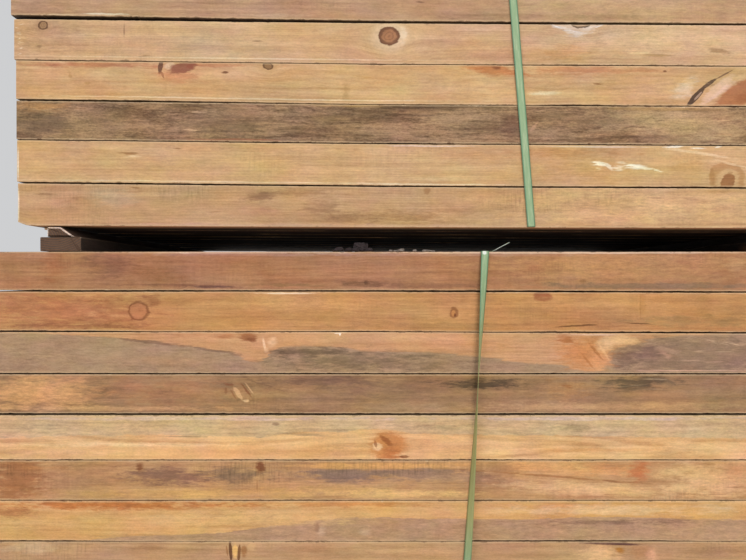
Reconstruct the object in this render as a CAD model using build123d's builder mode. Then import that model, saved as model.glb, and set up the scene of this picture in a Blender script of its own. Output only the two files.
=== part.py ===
from build123d import *
import os
from math import cos, radians, sin
from random import Random

# Two strapped packs of rough-sawn square timber, one on the other, with bearers under each.
# X runs along the timbers, the front of the stack faces -Y and the floor is at Z = 0.

# Timbers, in millimetres
timber_length = 4000.0
timber_width = 100.0
timber_height = 100.0
timbers_across = 11
arris = 2.5
width_play = 0.8
end_play = 6.0
rough_gap = 0.4

# How much higher or lower than that the timbers of each layer were sawn, from the lowest layer up
lower_differences = (-1.0, 1.0, 0.0, -1.0, -2.5, 9.5, -1.0, 2.0, -2.0, -3.5)
upper_differences = (0.0, 4.0, -5.0, -2.5, 0.0, 0.0, -2.0, 1.0, -1.0, 0.0)

# How far the front timber of each upper layer has slid out at the left
upper_front_slides = (0.0, 2.4, 3.6, 4.8, 9.7, 17.0, 12.0, 7.0, 10.0, 4.0)

# The upper pack was set down this much to the right of the lower one
pack_stagger = 90.0

# The lowest front timber of the upper pack has lost this much of its left lower corner
broken_length = 22.0
broken_height = 8.0

# Bearers: a flat batten with a lighter one of part-sloped section on it
batten_width = 100.0
batten_thickness = 35.0
wedge_foot = 66.0
wedge_top = 31.0
wedge_thickness = 24.2
wedge_inset = 17.0
bearer_inset = 53.0
bearers_in_a_row = 3

# Plastic straps: where each crosses the foot and the head of its pack, from the pack's end
strap_width = 19.0
strap_thickness = 0.9
strap_bend = 2.5
strap_gap = 0.3
cap_drop = 6.0
upper_strap_foot = 1245.0
upper_strap_head = 1165.0
lower_strap_foot = 1164.0
lower_strap_head = 1223.0
weld_length = 120.0
weld_setback = 260.0

# One strap has half a turn in its front run, quicker at the top than lower down
twist_share = 0.94
twist_pace = 0.765
twist_sections = 17

# Its loose end, turned out sideways near the front arris: first flat, then rising
tail_flat = 14.0
tail_length = 47.0
tail_rise = 28.0
tail_setback = 22.0

# A chip of bark lying on the front edge of the lower pack
chip_length = 36.0
chip_depth = 24.0
chip_height = 23.0
chip_from_end = 921.0
chip_setback = 20.0

sawing = Random(41)
half_depth = timbers_across * (timber_width + rough_gap) / 2
strap_reach = half_depth + width_play * timbers_across / 4 + strap_gap
bearer_rise = batten_thickness + wedge_thickness + 2 * rough_gap

lower_heights = [timber_height + difference for difference in lower_differences]
upper_heights = [timber_height + difference for difference in upper_differences]
lower_base = bearer_rise
lower_head = lower_base + sum(lower_heights) + rough_gap * len(lower_heights)
upper_base = lower_head + bearer_rise
upper_head = upper_base + sum(upper_heights) + rough_gap * len(upper_heights)

lower_middle = -pack_stagger / 2
upper_middle = pack_stagger / 2
lower_left = lower_middle - timber_length / 2
lower_right = lower_middle + timber_length / 2
upper_left = upper_middle - timber_length / 2
upper_right = upper_middle + timber_length / 2

os.makedirs("parts", exist_ok=True)


def save(piece, label):
    piece.label = label
    export_step(piece, f"parts/{label}.step")


def saw_layer(label, base, height, middle, front_slide=None, broken=False):
    """One layer of timbers side by side, each a little wider or narrower than the next."""
    widths = [timber_width + sawing.uniform(-width_play, width_play) for _ in range(timbers_across)]
    slides = [sawing.uniform(-end_play, end_play) for _ in range(timbers_across)]
    if front_slide is not None:
        slides[0] = -front_slide
    excess = sum(widths) - timbers_across * timber_width
    # The sawn widths are brought near the pack's depth, as the straps pull them
    widths = [width - excess / 2 / timbers_across for width in widths]
    front = -(sum(widths) + rough_gap * (timbers_across - 1)) / 2
    with BuildPart() as layer:
        for width, slide in zip(widths, slides):
            with Locations((middle + slide, front, base)):
                Box(timber_length, width, height, align=(Align.CENTER, Align.MIN, Align.MIN))
            front += width + rough_gap
        chamfer(layer.edges().filter_by(Axis.X), length=arris)
        if broken:
            corner = layer.solids().sort_by(Axis.Y)[0].bounding_box().min
            with BuildSketch(Plane.XZ.offset(-corner.Y)):
                with BuildLine():
                    Polyline(
                        (corner.X, base), (corner.X + broken_length, base), (corner.X, base + broken_height), close=True
                    )
                make_face()
            extrude(amount=-timber_width - width_play, mode=Mode.SUBTRACT)
    save(layer.part, label)


def lay_pack(name, base, heights, middle, front_slides=None, broken_layer=None):
    """A pack of layers from the lowest up."""
    for level, height in enumerate(heights):
        slide = front_slides[level] if front_slides else None
        saw_layer(f"{name}_layer_{level + 1:02d}", base, height, middle, slide, level == broken_layer)
        base += height + rough_gap


lay_pack("lower", lower_base, lower_heights, lower_middle)
lay_pack("upper", upper_base, upper_heights, upper_middle, upper_front_slides, broken_layer=0)


# Bearers run the packs' full depth, one set on the floor and one between the packs
shared_half = timber_length / 2 - pack_stagger / 2
first_bearer = -(shared_half - bearer_inset)
bearer_step = 2 * (shared_half - bearer_inset - batten_width / 2) / (bearers_in_a_row - 1)

for row, row_base in (("ground", 0.0), ("middle", lower_head)):
    for place in range(bearers_in_a_row):
        left = first_bearer + place * bearer_step
        with BuildPart() as batten:
            with Locations((left, 0, row_base)):
                Box(batten_width, 2 * half_depth, batten_thickness, align=(Align.MIN, Align.CENTER, Align.MIN))
            chamfer(batten.edges().filter_by(Axis.Y), length=arris / 2)
        save(batten.part, f"{row}_batten_{place + 1}")

        wedge_left = left + wedge_inset
        wedge_plane = Plane((wedge_left, half_depth, row_base + batten_thickness + rough_gap), (1, 0, 0), (0, -1, 0))
        with BuildPart() as wedge:
            with BuildSketch(wedge_plane):
                with BuildLine():
                    Polyline((0, 0), (wedge_foot, 0), (wedge_top, wedge_thickness), (0, wedge_thickness), close=True)
                make_face()
            extrude(amount=2 * half_depth)
            chamfer(wedge.edges().filter_by(Axis.Y).group_by(Axis.X)[0], length=arris)
        save(wedge.part, f"{row}_wedge_{place + 1}")


def run_sections(foot_x, head_x, low, high, twisted):
    """The strap's sections down one side, each as x, stand-off from the pack, z and turn."""
    flat = strap_thickness / 2
    sections = [(head_x, flat, high, 0)]
    if twisted:
        for step in range(1, twist_sections + 1):
            share = step / twist_sections
            turn = 180 * share**twist_pace
            down = share * twist_share
            stand = (strap_width * abs(sin(radians(turn))) + strap_thickness * abs(cos(radians(turn)))) / 2
            sections.append((head_x + (foot_x - head_x) * down, stand, high + (low - high) * down, turn))
    sections.append((foot_x, flat, low, 180 if twisted else 0))
    return sections


def wrap_strap(label, foot_x, head_x, base, head, twisted=False):
    """One strap round a pack, welded on the head, its runs leaning as the strap was pulled."""
    height = head - base + 2 * strap_gap
    outer = (2 * (strap_reach + strap_thickness), height + 2 * strap_thickness)
    low = base - strap_gap - strap_thickness + cap_drop
    high = head + strap_gap + strap_thickness - cap_drop
    with BuildPart() as strap:
        # Across the head and the foot of the pack, bent down over the arrises
        for x, drop in ((head_x, -cap_drop), (foot_x, cap_drop)):
            with BuildSketch(Plane.YZ.offset(x - strap_width / 2)):
                with Locations((0, (base + head) / 2)):
                    RectangleRounded(*outer, strap_bend + strap_thickness)
                    RectangleRounded(2 * strap_reach, height, strap_bend, mode=Mode.SUBTRACT)
                with Locations((0, (base + head) / 2 + drop)):
                    Rectangle(*outer, mode=Mode.SUBTRACT)
            extrude(amount=strap_width)
        # Down the front and the back
        for side, turned in ((-1, twisted), (1, False)):
            for x, stand, z, turn in run_sections(foot_x, head_x, low, high, turned):
                with BuildSketch(Plane.XY.offset(z)):
                    with Locations((x, side * (strap_reach + stand))):
                        Rectangle(strap_width, strap_thickness, rotation=turn)
            loft(ruled=True)
        with Locations((head_x, -strap_reach + weld_setback, head + strap_gap + strap_thickness)):
            Box(strap_width, weld_length, strap_thickness, align=(Align.CENTER, Align.CENTER, Align.MIN))
        if twisted:
            root = (head_x + strap_width / 2 - 2 * strap_thickness, head + strap_gap + strap_thickness / 2)
            with BuildSketch(Plane.XZ.offset(strap_reach - tail_setback)):
                with BuildLine() as tail:
                    flat = Line(root, (root[0] + tail_flat, root[1]))
                    PolarLine(flat @ 1, tail_length, tail_rise)
                trace(tail.line, strap_thickness)
            extrude(amount=strap_width / 2, both=True)
    save(strap.part, label)


wrap_strap(
    "lower_strap_1", lower_left + lower_strap_foot, lower_left + lower_strap_head, lower_base, lower_head, twisted=True
)
wrap_strap("lower_strap_2", lower_right - lower_strap_foot, lower_right - lower_strap_head, lower_base, lower_head)
wrap_strap("upper_strap_1", upper_left + upper_strap_foot, upper_left + upper_strap_head, upper_base, upper_head)
wrap_strap("upper_strap_2", upper_right - upper_strap_foot, upper_right - upper_strap_head, upper_base, upper_head)


with BuildPart() as chip:
    for share, spread in ((0.0, 0.8), (0.4, 1.0), (1.0, 0.45)):
        with BuildSketch(Plane.XY.offset(lower_head + share * chip_height)):
            with Locations((lower_left + chip_from_end, -half_depth + chip_setback)):
                Rectangle(chip_length * spread, chip_depth * spread, rotation=9)
    loft(ruled=True)
save(chip.part, "bark_chip")
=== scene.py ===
from collections import namedtuple
from math import cos, pi, radians, sin
from random import Random

import bmesh
import bpy
from mathutils import Matrix, Vector, noise


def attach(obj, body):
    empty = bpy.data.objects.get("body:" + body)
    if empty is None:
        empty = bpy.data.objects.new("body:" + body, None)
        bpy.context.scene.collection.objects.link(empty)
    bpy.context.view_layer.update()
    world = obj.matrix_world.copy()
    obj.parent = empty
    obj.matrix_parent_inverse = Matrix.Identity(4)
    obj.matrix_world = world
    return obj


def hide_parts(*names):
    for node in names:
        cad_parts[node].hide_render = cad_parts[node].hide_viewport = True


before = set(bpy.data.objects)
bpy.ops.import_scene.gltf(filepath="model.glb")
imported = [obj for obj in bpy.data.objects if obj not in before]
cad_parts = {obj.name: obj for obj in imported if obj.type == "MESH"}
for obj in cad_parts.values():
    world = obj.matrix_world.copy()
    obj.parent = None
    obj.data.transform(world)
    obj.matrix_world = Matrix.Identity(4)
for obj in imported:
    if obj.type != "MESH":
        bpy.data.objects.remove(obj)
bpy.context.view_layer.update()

MM = 0.001

# The packs as the source has them, in millimetres
LENGTH = 4000.0
SIDE = 100.0
ACROSS = 11
WIDTH_PLAY = 0.8
END_PLAY = 6.0
ROUGH_GAP = 0.4
STAGGER = 90.0
LOWER_HEIGHTS = (99.0, 101.0, 100.0, 99.0, 97.5, 109.5, 99.0, 102.0, 98.0, 96.5)
UPPER_HEIGHTS = (100.0, 104.0, 95.0, 97.5, 100.0, 100.0, 98.0, 101.0, 99.0, 100.0)
UPPER_SLIDES = (0.0, 2.4, 3.6, 4.8, 9.7, 17.0, 12.0, 7.0, 10.0, 4.0)

# The bearers' two battens, the upper one with a sloped side
BATTEN_WIDTH = 100.0
BATTEN_THICKNESS = 35.0
WEDGE_FOOT = 66.0
WEDGE_TOP = 31.0
WEDGE_THICKNESS = 24.2
WEDGE_INSET = 17.0
BEARER_INSET = 53.0

# The straps: where each crosses the foot and the head of its pack, from the pack's end, and its weld
STRAP_WIDTH = 19.0
STRAP_THICKNESS = 0.9
STRAP_GAP = 0.3
STRAP_BEND = 3.0
UPPER_STRAP_FOOT = 1245.0
UPPER_STRAP_HEAD = 1165.0
LOWER_STRAP_FOOT = 1164.0
LOWER_STRAP_HEAD = 1223.0
WELD_LENGTH = 120.0
WELD_SETBACK = 260.0

# One strap has half a turn in its front run, and a loose end turned out sideways: first flat, then rising
TWIST_SHARE = 0.94
TWIST_PACE = 0.765
TAIL_SETBACK = 22.0
TAIL_FLAT = 14.0
TAIL_LENGTH = 47.0
TAIL_RISE = 28.0

BEARER_RISE = BATTEN_THICKNESS + WEDGE_THICKNESS + 2 * ROUGH_GAP
LOWER_BASE = BEARER_RISE
LOWER_HEAD = LOWER_BASE + sum(LOWER_HEIGHTS) + ROUGH_GAP * len(LOWER_HEIGHTS)
UPPER_BASE = LOWER_HEAD + BEARER_RISE
UPPER_HEAD = UPPER_BASE + sum(UPPER_HEIGHTS) + ROUGH_GAP * len(UPPER_HEIGHTS)
LOWER_LEFT, LOWER_RIGHT = (-STAGGER / 2 + side * LENGTH / 2 for side in (-1, 1))
UPPER_LEFT, UPPER_RIGHT = (STAGGER / 2 + side * LENGTH / 2 for side in (-1, 1))
HALF_DEPTH = ACROSS * (SIDE + ROUGH_GAP) / 2
STRAP_REACH = HALF_DEPTH + WIDTH_PLAY * ACROSS / 4 + STRAP_GAP


# Nodes

# A ramp with soft ends
SOFT = {"interpolation_type": "SMOOTHSTEP"}


def linear(hex_colour):
    """sRGB hex to linear RGBA."""
    parts = [int(hex_colour[i:i + 2], 16) / 255 for i in (0, 2, 4)]
    return [c / 12.92 if c <= 0.04045 else ((c + 0.055) / 1.055) ** 2.4 for c in parts] + [1.0]


def add(tree, kind, inputs=(), curve=None, **settings):
    """A node with its settings, its curve's points and its inputs, by name or in order."""
    made = tree.nodes.new("ShaderNode" + kind)
    for name, value in settings.items():
        setattr(made, name, value)
    if curve:
        points = made.mapping.curves[0].points
        points[0].location, points[1].location = curve[0], curve[-1]
        for at in curve[1:-1]:
            points.new(*at)
        made.mapping.update()
    for name, value in inputs.items() if isinstance(inputs, dict) else enumerate(inputs):
        if isinstance(value, bpy.types.Node):
            value = value.outputs[0]
        if isinstance(value, bpy.types.NodeSocket):
            tree.links.new(value, made.inputs[name])
        else:
            made.inputs[name].default_value = linear(value) if isinstance(value, str) else value
    return made


def new_group(name, inputs, outputs):
    """An empty node group with its sockets, each given as a name and a kind, and its two inner ends."""
    tree = bpy.data.node_groups.new(name, "ShaderNodeTree")
    for ends, way in ((inputs, "INPUT"), (outputs, "OUTPUT")):
        for label, kind in ends.items():
            tree.interface.new_socket(label, in_out=way, socket_type="NodeSocket" + kind)
    return tree, tree.nodes.new("NodeGroupInput").outputs, tree.nodes.new("NodeGroupOutput").inputs


def new_material(name):
    made = bpy.data.materials.new(name)
    made.use_nodes = True
    made.node_tree.nodes.clear()
    return made, made.node_tree


def make_clouds():
    """Noise drawn out along the fibres, with so many lumps to a metre along the timber, across it and up."""
    t, given, out = new_group("Clouds", {
        "Place": "Vector", "Lumps": "Vector", "Detail": "Float", "Roughness": "Float"},
        {"Value": "Float", "Shift": "Vector"})
    at = add(t, "VectorMath", (given["Place"], given["Lumps"]), operation="MULTIPLY")
    cloud = add(t, "TexNoise", {
        "Vector": at, "Scale": 1.0, "Detail": given["Detail"], "Roughness": given["Roughness"]})
    t.links.new(cloud.outputs[0], out["Value"])
    # The same noise as a shift to either side
    shift = add(t, "VectorMath", (cloud.outputs["Color"], (-0.5, -0.5, -0.5)), operation="ADD")
    t.links.new(shift.outputs[0], out["Shift"])
    return t


def knot_face(t, given, reach, turns, ringed, bark_from, barked):
    """A sawn knot: a heart with its own rings, inside a dark ring of bark."""
    wave = add(t, "Math", (reach, turns), operation="MULTIPLY")
    wave = add(t, "Math", (wave,), operation="SINE")
    rings = add(t, "MapRange", (wave, -0.2, 1.0, 0.0, ringed))
    heart = add(t, "MixRGB", (rings, given["Heart"], given["Ring"]))
    bark = add(t, "MapRange", (reach, bark_from, 0.9, 0.0, barked), **SOFT)
    return add(t, "MixRGB", (bark, heart, given["Ring"]))


# Growth rings, in metres, along the timbers and on their ends
RING_WIDTH = 0.0062
END_RING_WIDTH = 0.0055

# The pith lies in or beside a timber, at a place worked out from the timber's own number
PITH_SPREAD = (0.0, 0.17, 0.14)
PITH_LEAST = (0.0, -0.03, -0.03)


def make_ragged_place():
    """Shifts places along and across the fibres, so that stains end in ragged streaks, or only gently."""
    t, given, out = new_group("Ragged place", {
        "Place": "Vector", "Stock": "Vector"},
        {"Torn": "Vector", "Wavy": "Vector", "Fray": "Float", "Speck": "Float"})
    apart = add(t, "VectorMath", (given["Stock"], (9.0, 5.0, 7.0), given["Place"]),
                operation="MULTIPLY_ADD")
    torn = add(t, "Group", (apart, (9.0, 9.0, 120.0), 4.0, 0.65), node_tree=clouds)
    ragged = add(t, "VectorMath", (torn.outputs["Shift"], (0.09, 0.0, 0.009), given["Place"]),
                 operation="MULTIPLY_ADD")
    t.links.new(ragged.outputs[0], out["Torn"])
    sway = add(t, "Group", (apart, (70.0, 70.0, 70.0), 2.0, 0.5), node_tree=clouds)
    wavy = add(t, "VectorMath", (sway.outputs["Shift"], (0.008, 0.0, 0.006), given["Place"]),
               operation="MULTIPLY_ADD")
    t.links.new(wavy.outputs[0], out["Wavy"])
    fray = add(t, "Group", (apart, (22.0, 22.0, 95.0), 6.0, 0.72), node_tree=clouds)
    fray = add(t, "Math", (fray, 0.5), operation="SUBTRACT")
    t.links.new(fray.outputs[0], out["Fray"])
    # Mould and dirt sit in specks and dashes a few millimetres long
    dash = add(t, "Group", (apart, (55.0, 160.0, 210.0), 4.0, 0.75), node_tree=clouds)
    dash = add(t, "Math", (dash, -0.5), operation="ADD")
    speck = add(t, "Math", (fray, 0.9, dash), operation="MULTIPLY_ADD")
    t.links.new(speck.outputs[0], out["Speck"])
    return t


def add_reach(t, given):
    """How far a place is from a mark's middle, 1 at its rim; the mark is an ellipse on the timber's face."""
    apart = add(t, "VectorMath", (given["Place"], given["Centre"]), operation="SUBTRACT")
    turned = add(t, "VectorRotate", {"Vector": apart, "Angle": given["Tilt"]}, rotation_type="Y_AXIS")
    scaled = add(t, "VectorMath", (turned, given["Half"]), operation="DIVIDE")
    flat = add(t, "VectorMath", (scaled, (1.0, 0.0, 1.0)), operation="MULTIPLY")
    return add(t, "VectorMath", (flat,), operation="LENGTH").outputs["Value"]


def make_mark():
    """A patch of one colour with a soft or sharp edge, laid over the colour under it."""
    t, given, out = new_group("Mark", {
        "Place": "Vector", "Fray": "Float", "Speck": "Float", "Centre": "Vector", "Half": "Vector",
        "Tilt": "Float", "Edge": "Float", "Strength": "Float", "Colour": "Color", "Under": "Color"},
        {"Colour": "Color"})
    reach = add_reach(t, given)
    # The softer its edge, the more the fibres break it up
    frayed = add(t, "Math", (given["Fray"], given["Edge"]), operation="MULTIPLY")
    reach = add(t, "Math", (frayed, 3.4, reach), operation="MULTIPLY_ADD")
    inner = add(t, "Math", (1.15, given["Edge"]), operation="SUBTRACT")
    mask = add(t, "MapRange", (reach, 1.15, inner, 0.0, given["Strength"]), **SOFT)
    speck = add(t, "Math", (given["Speck"], given["Edge"]), operation="MULTIPLY")
    speck = add(t, "Math", (speck, 1.0, 1.0), operation="MULTIPLY_ADD")
    speckled = add(t, "VectorMath", {0: given["Colour"], "Scale": speck}, operation="SCALE")
    mix = add(t, "MixRGB", (mask, given["Under"], speckled))
    t.links.new(mix.outputs[0], out["Colour"])
    return t


def make_knot():
    """A sawn-through branch: a heart with its own rings, a dark bark ring and a halo of turned fibres."""
    t, given, out = new_group("Knot", {
        "Place": "Vector", "Fray": "Float", "Centre": "Vector", "Half": "Vector", "Tilt": "Float",
        "Strength": "Float", "Heart": "Color", "Ring": "Color", "Halo": "Color", "Under": "Color"},
        {"Colour": "Color"})
    reach = add_reach(t, given)
    reach = add(t, "Math", (given["Fray"], 0.5, reach), operation="MULTIPLY_ADD")
    whole = knot_face(t, given, reach, 19.0, 0.45, 0.55, 0.95)
    near = add(t, "MapRange", (reach, 2.3, 1.0, 0.0, 0.75), **SOFT)
    near = add(t, "Math", (near, given["Strength"]), operation="MULTIPLY")
    around = add(t, "MixRGB", (near, given["Under"], given["Halo"]))
    mask = add(t, "MapRange", (reach, 1.08, 0.94, 0.0, given["Strength"]), **SOFT)
    mix = add(t, "MixRGB", (mask, around, whole))
    t.links.new(mix.outputs[0], out["Colour"])
    return t


def make_flow():
    """Bends the fibres round a knot: places near it are drawn towards its middle before the grain is laid."""
    t, given, out = new_group("Fibres round a knot", {
        "Place": "Vector", "Centre": "Vector", "Half": "Vector", "Tilt": "Float"},
        {"Place": "Vector"})
    reach = add_reach(t, given)
    square = add(t, "Math", (reach, reach), operation="MULTIPLY")
    fall = add(t, "Math", (0.45, square), operation="POWER")
    apart = add(t, "VectorMath", (given["Centre"], given["Place"]), operation="SUBTRACT")
    pull = add(t, "VectorMath", (apart, (0.0, 0.0, 0.8)), operation="MULTIPLY")
    pull = add(t, "VectorMath", {0: pull, "Scale": fall}, operation="SCALE")
    moved = add(t, "VectorMath", (given["Place"], pull), operation="ADD")
    t.links.new(moved.outputs[0], out["Place"])
    return t


def make_sawn_pine():
    """Rough-sawn pine: growth rings cut lengthwise, fibre streaks, blotches of sap and band-saw lines."""
    t, given, out = new_group("Sawn pine", {
        "Place": "Vector", "Stock": "Vector", "Light": "Color", "Dark": "Color", "Warm": "Color",
        "Figure": "Float", "Saw": "Float", "Blotch": "Float"},
        {"Colour": "Color", "Shade": "Float", "Height": "Float", "Rough": "Float"})
    place = add(t, "VectorMath", (given["Stock"], (31.0, 17.0, 23.0), given["Place"]),
                operation="MULTIPLY_ADD")

    # Growth rings 6 mm apart round a pith that lies in or beside the timber, wandering as a trunk does
    drift = add(t, "Group", (place, (1.1, 7.0, 7.0), 2.0, 0.5), node_tree=clouds)
    drift = add(t, "VectorMath", (drift.outputs["Shift"], (0.0, 0.055, 0.055), given["Place"]),
                operation="MULTIPLY_ADD")
    pith = add(t, "VectorMath", (given["Stock"], PITH_SPREAD, PITH_LEAST), operation="MULTIPLY_ADD")
    spoke = add(t, "VectorMath", (drift, pith), operation="SUBTRACT")
    spoke = add(t, "VectorMath", (spoke, (0.0, 1.0, 1.0)), operation="MULTIPLY")
    radius = add(t, "VectorMath", (spoke,), operation="LENGTH").outputs["Value"]
    years = add(t, "Math", (radius, 2 * pi / RING_WIDTH), operation="MULTIPLY")
    wave = add(t, "Math", (years,), operation="SINE")
    rings = add(t, "MapRange", (wave, -0.3, 1.0, 0.0, 1.0), **SOFT)

    # Fibre streaks, a few millimetres high and a few decimetres long, and a rough face's short torn fibres
    streak = add(t, "Group", (place, (2.4, 55.0, 85.0), 7.0, 0.62), node_tree=clouds)
    torn = add(t, "Group", (place, (45.0, 260.0, 330.0), 3.0, 0.6), node_tree=clouds)

    # Band-saw lines across the fibres, about 9 mm apart, that come and go along the timber
    saw = add(t, "Group", (place, (105.0, 4.0, 7.0), 2.0, 0.5), node_tree=clouds)
    where = add(t, "Group", (place, (2.6, 6.0, 14.0), 1.0, 0.5), node_tree=clouds)
    shown = add(t, "MapRange", (where, 0.42, 0.66, 0.0, 0.6), **SOFT)
    saw = add(t, "Math", (saw, 0.5), operation="SUBTRACT")
    saw = add(t, "Math", (saw, shown), operation="MULTIPLY")
    saw = add(t, "Math", (saw, given["Saw"]), operation="MULTIPLY")

    blotch = add(t, "Group", (place, (3.0, 6.0, 15.0), 3.0, 0.55), node_tree=clouds)

    # How dark each place is, from all of these
    ring_part = add(t, "Math", (rings, given["Figure"]), operation="MULTIPLY")
    dark = add(t, "Math", (streak, 1.9, ring_part), operation="MULTIPLY_ADD")
    dark = add(t, "Math", (torn, 0.6, dark), operation="MULTIPLY_ADD")
    dark = add(t, "Math", (dark, saw), operation="ADD")
    dark = add(t, "MapRange", (dark, 0.85, 1.95, 0.0, 1.0))
    t.links.new(dark.outputs[0], out["Shade"])
    base = add(t, "MixRGB", (dark, given["Light"], given["Dark"]))
    sap = add(t, "MapRange", (blotch, 0.38, 0.66, 0.0, given["Blotch"]), **SOFT)
    tinted = add(t, "MixRGB", (sap, base, given["Warm"]))
    t.links.new(tinted.outputs[0], out["Colour"])

    height = add(t, "Math", (saw, 2.0, torn), operation="MULTIPLY_ADD")
    height = add(t, "Math", (streak, 0.7, height), operation="MULTIPLY_ADD")
    t.links.new(height.outputs[0], out["Height"])
    rough = add(t, "MapRange", (torn, 0.3, 0.7, 0.72, 0.9))
    t.links.new(rough.outputs[0], out["Rough"])
    return t


def make_weather():
    """Rain-greyed, mould-stained face: grey-brown with dark streaks and specks and bare pale threads."""
    t, given, out = new_group("Weathering", {
        "Place": "Vector", "Stock": "Vector", "Amount": "Float", "Grey": "Color", "Mould": "Color",
        "Under": "Color"},
        {"Colour": "Color"})
    place = add(t, "VectorMath", (given["Stock"], (11.0, 29.0, 19.0), given["Place"]),
                operation="MULTIPLY_ADD")
    streak = add(t, "Group", (place, (11.0, 80.0, 150.0), 5.0, 0.7), node_tree=clouds)
    speck = add(t, "Group", (place, (75.0, 200.0, 230.0), 3.0, 0.7), node_tree=clouds)
    broad = add(t, "Group", (place, (5.0, 8.0, 22.0), 3.0, 0.5), node_tree=clouds)
    dark = add(t, "Math", (speck, 0.8, streak), operation="MULTIPLY_ADD")
    dark = add(t, "Math", (broad, 0.9, dark), operation="MULTIPLY_ADD")
    dark = add(t, "MapRange", (dark, 1.2, 1.55, 0.0, 1.0))
    greyed = add(t, "MixRGB", (dark, given["Grey"], given["Mould"]))
    bare = add(t, "MapRange", (streak, 0.42, 0.28, 0.0, 0.6))
    bare = add(t, "MixRGB", (bare, greyed, given["Under"]))
    mix = add(t, "MixRGB", (given["Amount"], given["Under"], bare))
    t.links.new(mix.outputs[0], out["Colour"])
    return t


def make_handled_face():
    """What months in a yard leave on a sawn face: patches turned pink, yellow or grey, dust and fine fur."""
    t, given, out = new_group("Handled face", {
        "Place": "Vector", "Stock": "Vector", "Shade": "Float", "Saw": "Float", "Amount": "Float",
        "Under": "Color"},
        {"Colour": "Color"})
    place = add(t, "VectorMath", (given["Stock"], (41.0, 7.0, 13.0), given["Place"]),
                operation="MULTIPLY_ADD")
    total = add(t, "Math", (given["Shade"], -0.16, 1.07), operation="MULTIPLY_ADD")
    # Clouds 60 to 150 mm wide, bands right across the face, short dark fibres and fur, each with its weight
    for scale, detail, rough, weight in (
            ((9.0, 14.0, 24.0), 5.0, 0.6, 0.42), ((15.0, 1.0, 3.0), 2.0, 0.5, 0.12),
            ((34.0, 90.0, 170.0), 4.0, 0.7, 0.42),
            ((190.0, 300.0, 330.0), 2.0, 0.6, 0.36)):
        cloud = add(t, "Group", (place, scale, detail, rough), node_tree=clouds)
        cloud = add(t, "Math", (cloud, 0.5), operation="SUBTRACT")
        cloud = add(t, "Math", (cloud, given["Amount"]), operation="MULTIPLY")
        total = add(t, "Math", (cloud, weight, total), operation="MULTIPLY_ADD")
    # Saw lines 5 mm apart: faint dark strokes across the fibres, only where the blade wandered
    stroke = add(t, "Group", (place, (210.0, 5.0, 26.0), 1.0, 0.5), node_tree=clouds)
    stroke = add(t, "MapRange", (stroke, 0.46, 0.7, 0.0, -0.17))
    wandered = add(t, "Group", (place, (3.4, 6.0, 9.0), 2.0, 0.5), node_tree=clouds)
    wandered = add(t, "MapRange", (wandered, 0.5, 0.68, 0.0, given["Saw"]), **SOFT)
    total = add(t, "Math", (stroke, wandered, total), operation="MULTIPLY_ADD")
    # Patches of another hue
    hue = add(t, "Group", (place, (7.0, 9.0, 15.0), 3.0, 0.6), node_tree=clouds)
    hue = add(t, "VectorMath", (hue.outputs["Shift"], (0.22, 0.34, 0.62), (1.0, 1.0, 1.0)),
              operation="MULTIPLY_ADD")
    turned = add(t, "VectorMath", (given["Under"], hue), operation="MULTIPLY")
    shaded = add(t, "VectorMath", {0: turned, "Scale": total}, operation="SCALE")
    t.links.new(shaded.outputs[0], out["Colour"])
    return t


def make_painted_seam_shade():
    """Painted shade where courses lie on each other: past the arris, undersides, and faces that lie under
    another course, darken with depth towards near black, standing in for the shade between the courses and in
    the gap between the packs.
    """
    t, given, out = new_group("Seam, painted shade", {
        "Place": "Vector", "Amount": "Float", "Fresh and lit": "Float", "Under": "Color"},
        {"Colour": "Color"})
    surface = add(t, "NewGeometry")
    facing = add(t, "SeparateXYZ", (surface.outputs["True Normal"],))
    below = add(t, "MapRange", (facing.outputs[2], -0.93, -0.98, 0.0, 1.0))
    above = add(t, "MapRange", (facing.outputs[2], 0.93, 0.98, 0.0, given["Amount"]))
    lying = add(t, "Math", (below, above), operation="ADD")
    parts = add(t, "SeparateXYZ", (given["Place"],))
    # Pale near the front of the underside, where asked for: torn wood, and painted light reaching a little
    # way under the pack
    fresh_and_lit = add(t, "MapRange", (parts.outputs[1], 0.004, 0.03, 0.9, 0.0))
    fresh_and_lit = add(t, "Math", (below, fresh_and_lit), operation="MULTIPLY")
    fresh_and_lit = add(t, "Math", (given["Fresh and lit"], fresh_and_lit), operation="MULTIPLY")
    torn = add(t, "MixRGB", (fresh_and_lit, given["Under"], "F0A878"))
    deep = add(t, "MapRange", (parts.outputs[1], 0.0, 0.015, 0.5, 0.97))
    # On a newly torn edge the painted shade deepens more slowly, standing in for light that reaches further
    # under the pack
    slow = add(t, "MapRange", (parts.outputs[1], 0.004, 0.07, 0.0, 0.97))
    deep = add(t, "MixRGB", (given["Fresh and lit"], deep, slow)).outputs[0]
    amount = add(t, "Math", (lying, deep), operation="MULTIPLY")
    # Mix towards the near-black painted shade
    mix = add(t, "MixRGB", (amount, torn, "170E0A"))
    t.links.new(mix.outputs[0], out["Colour"])
    return t


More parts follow.
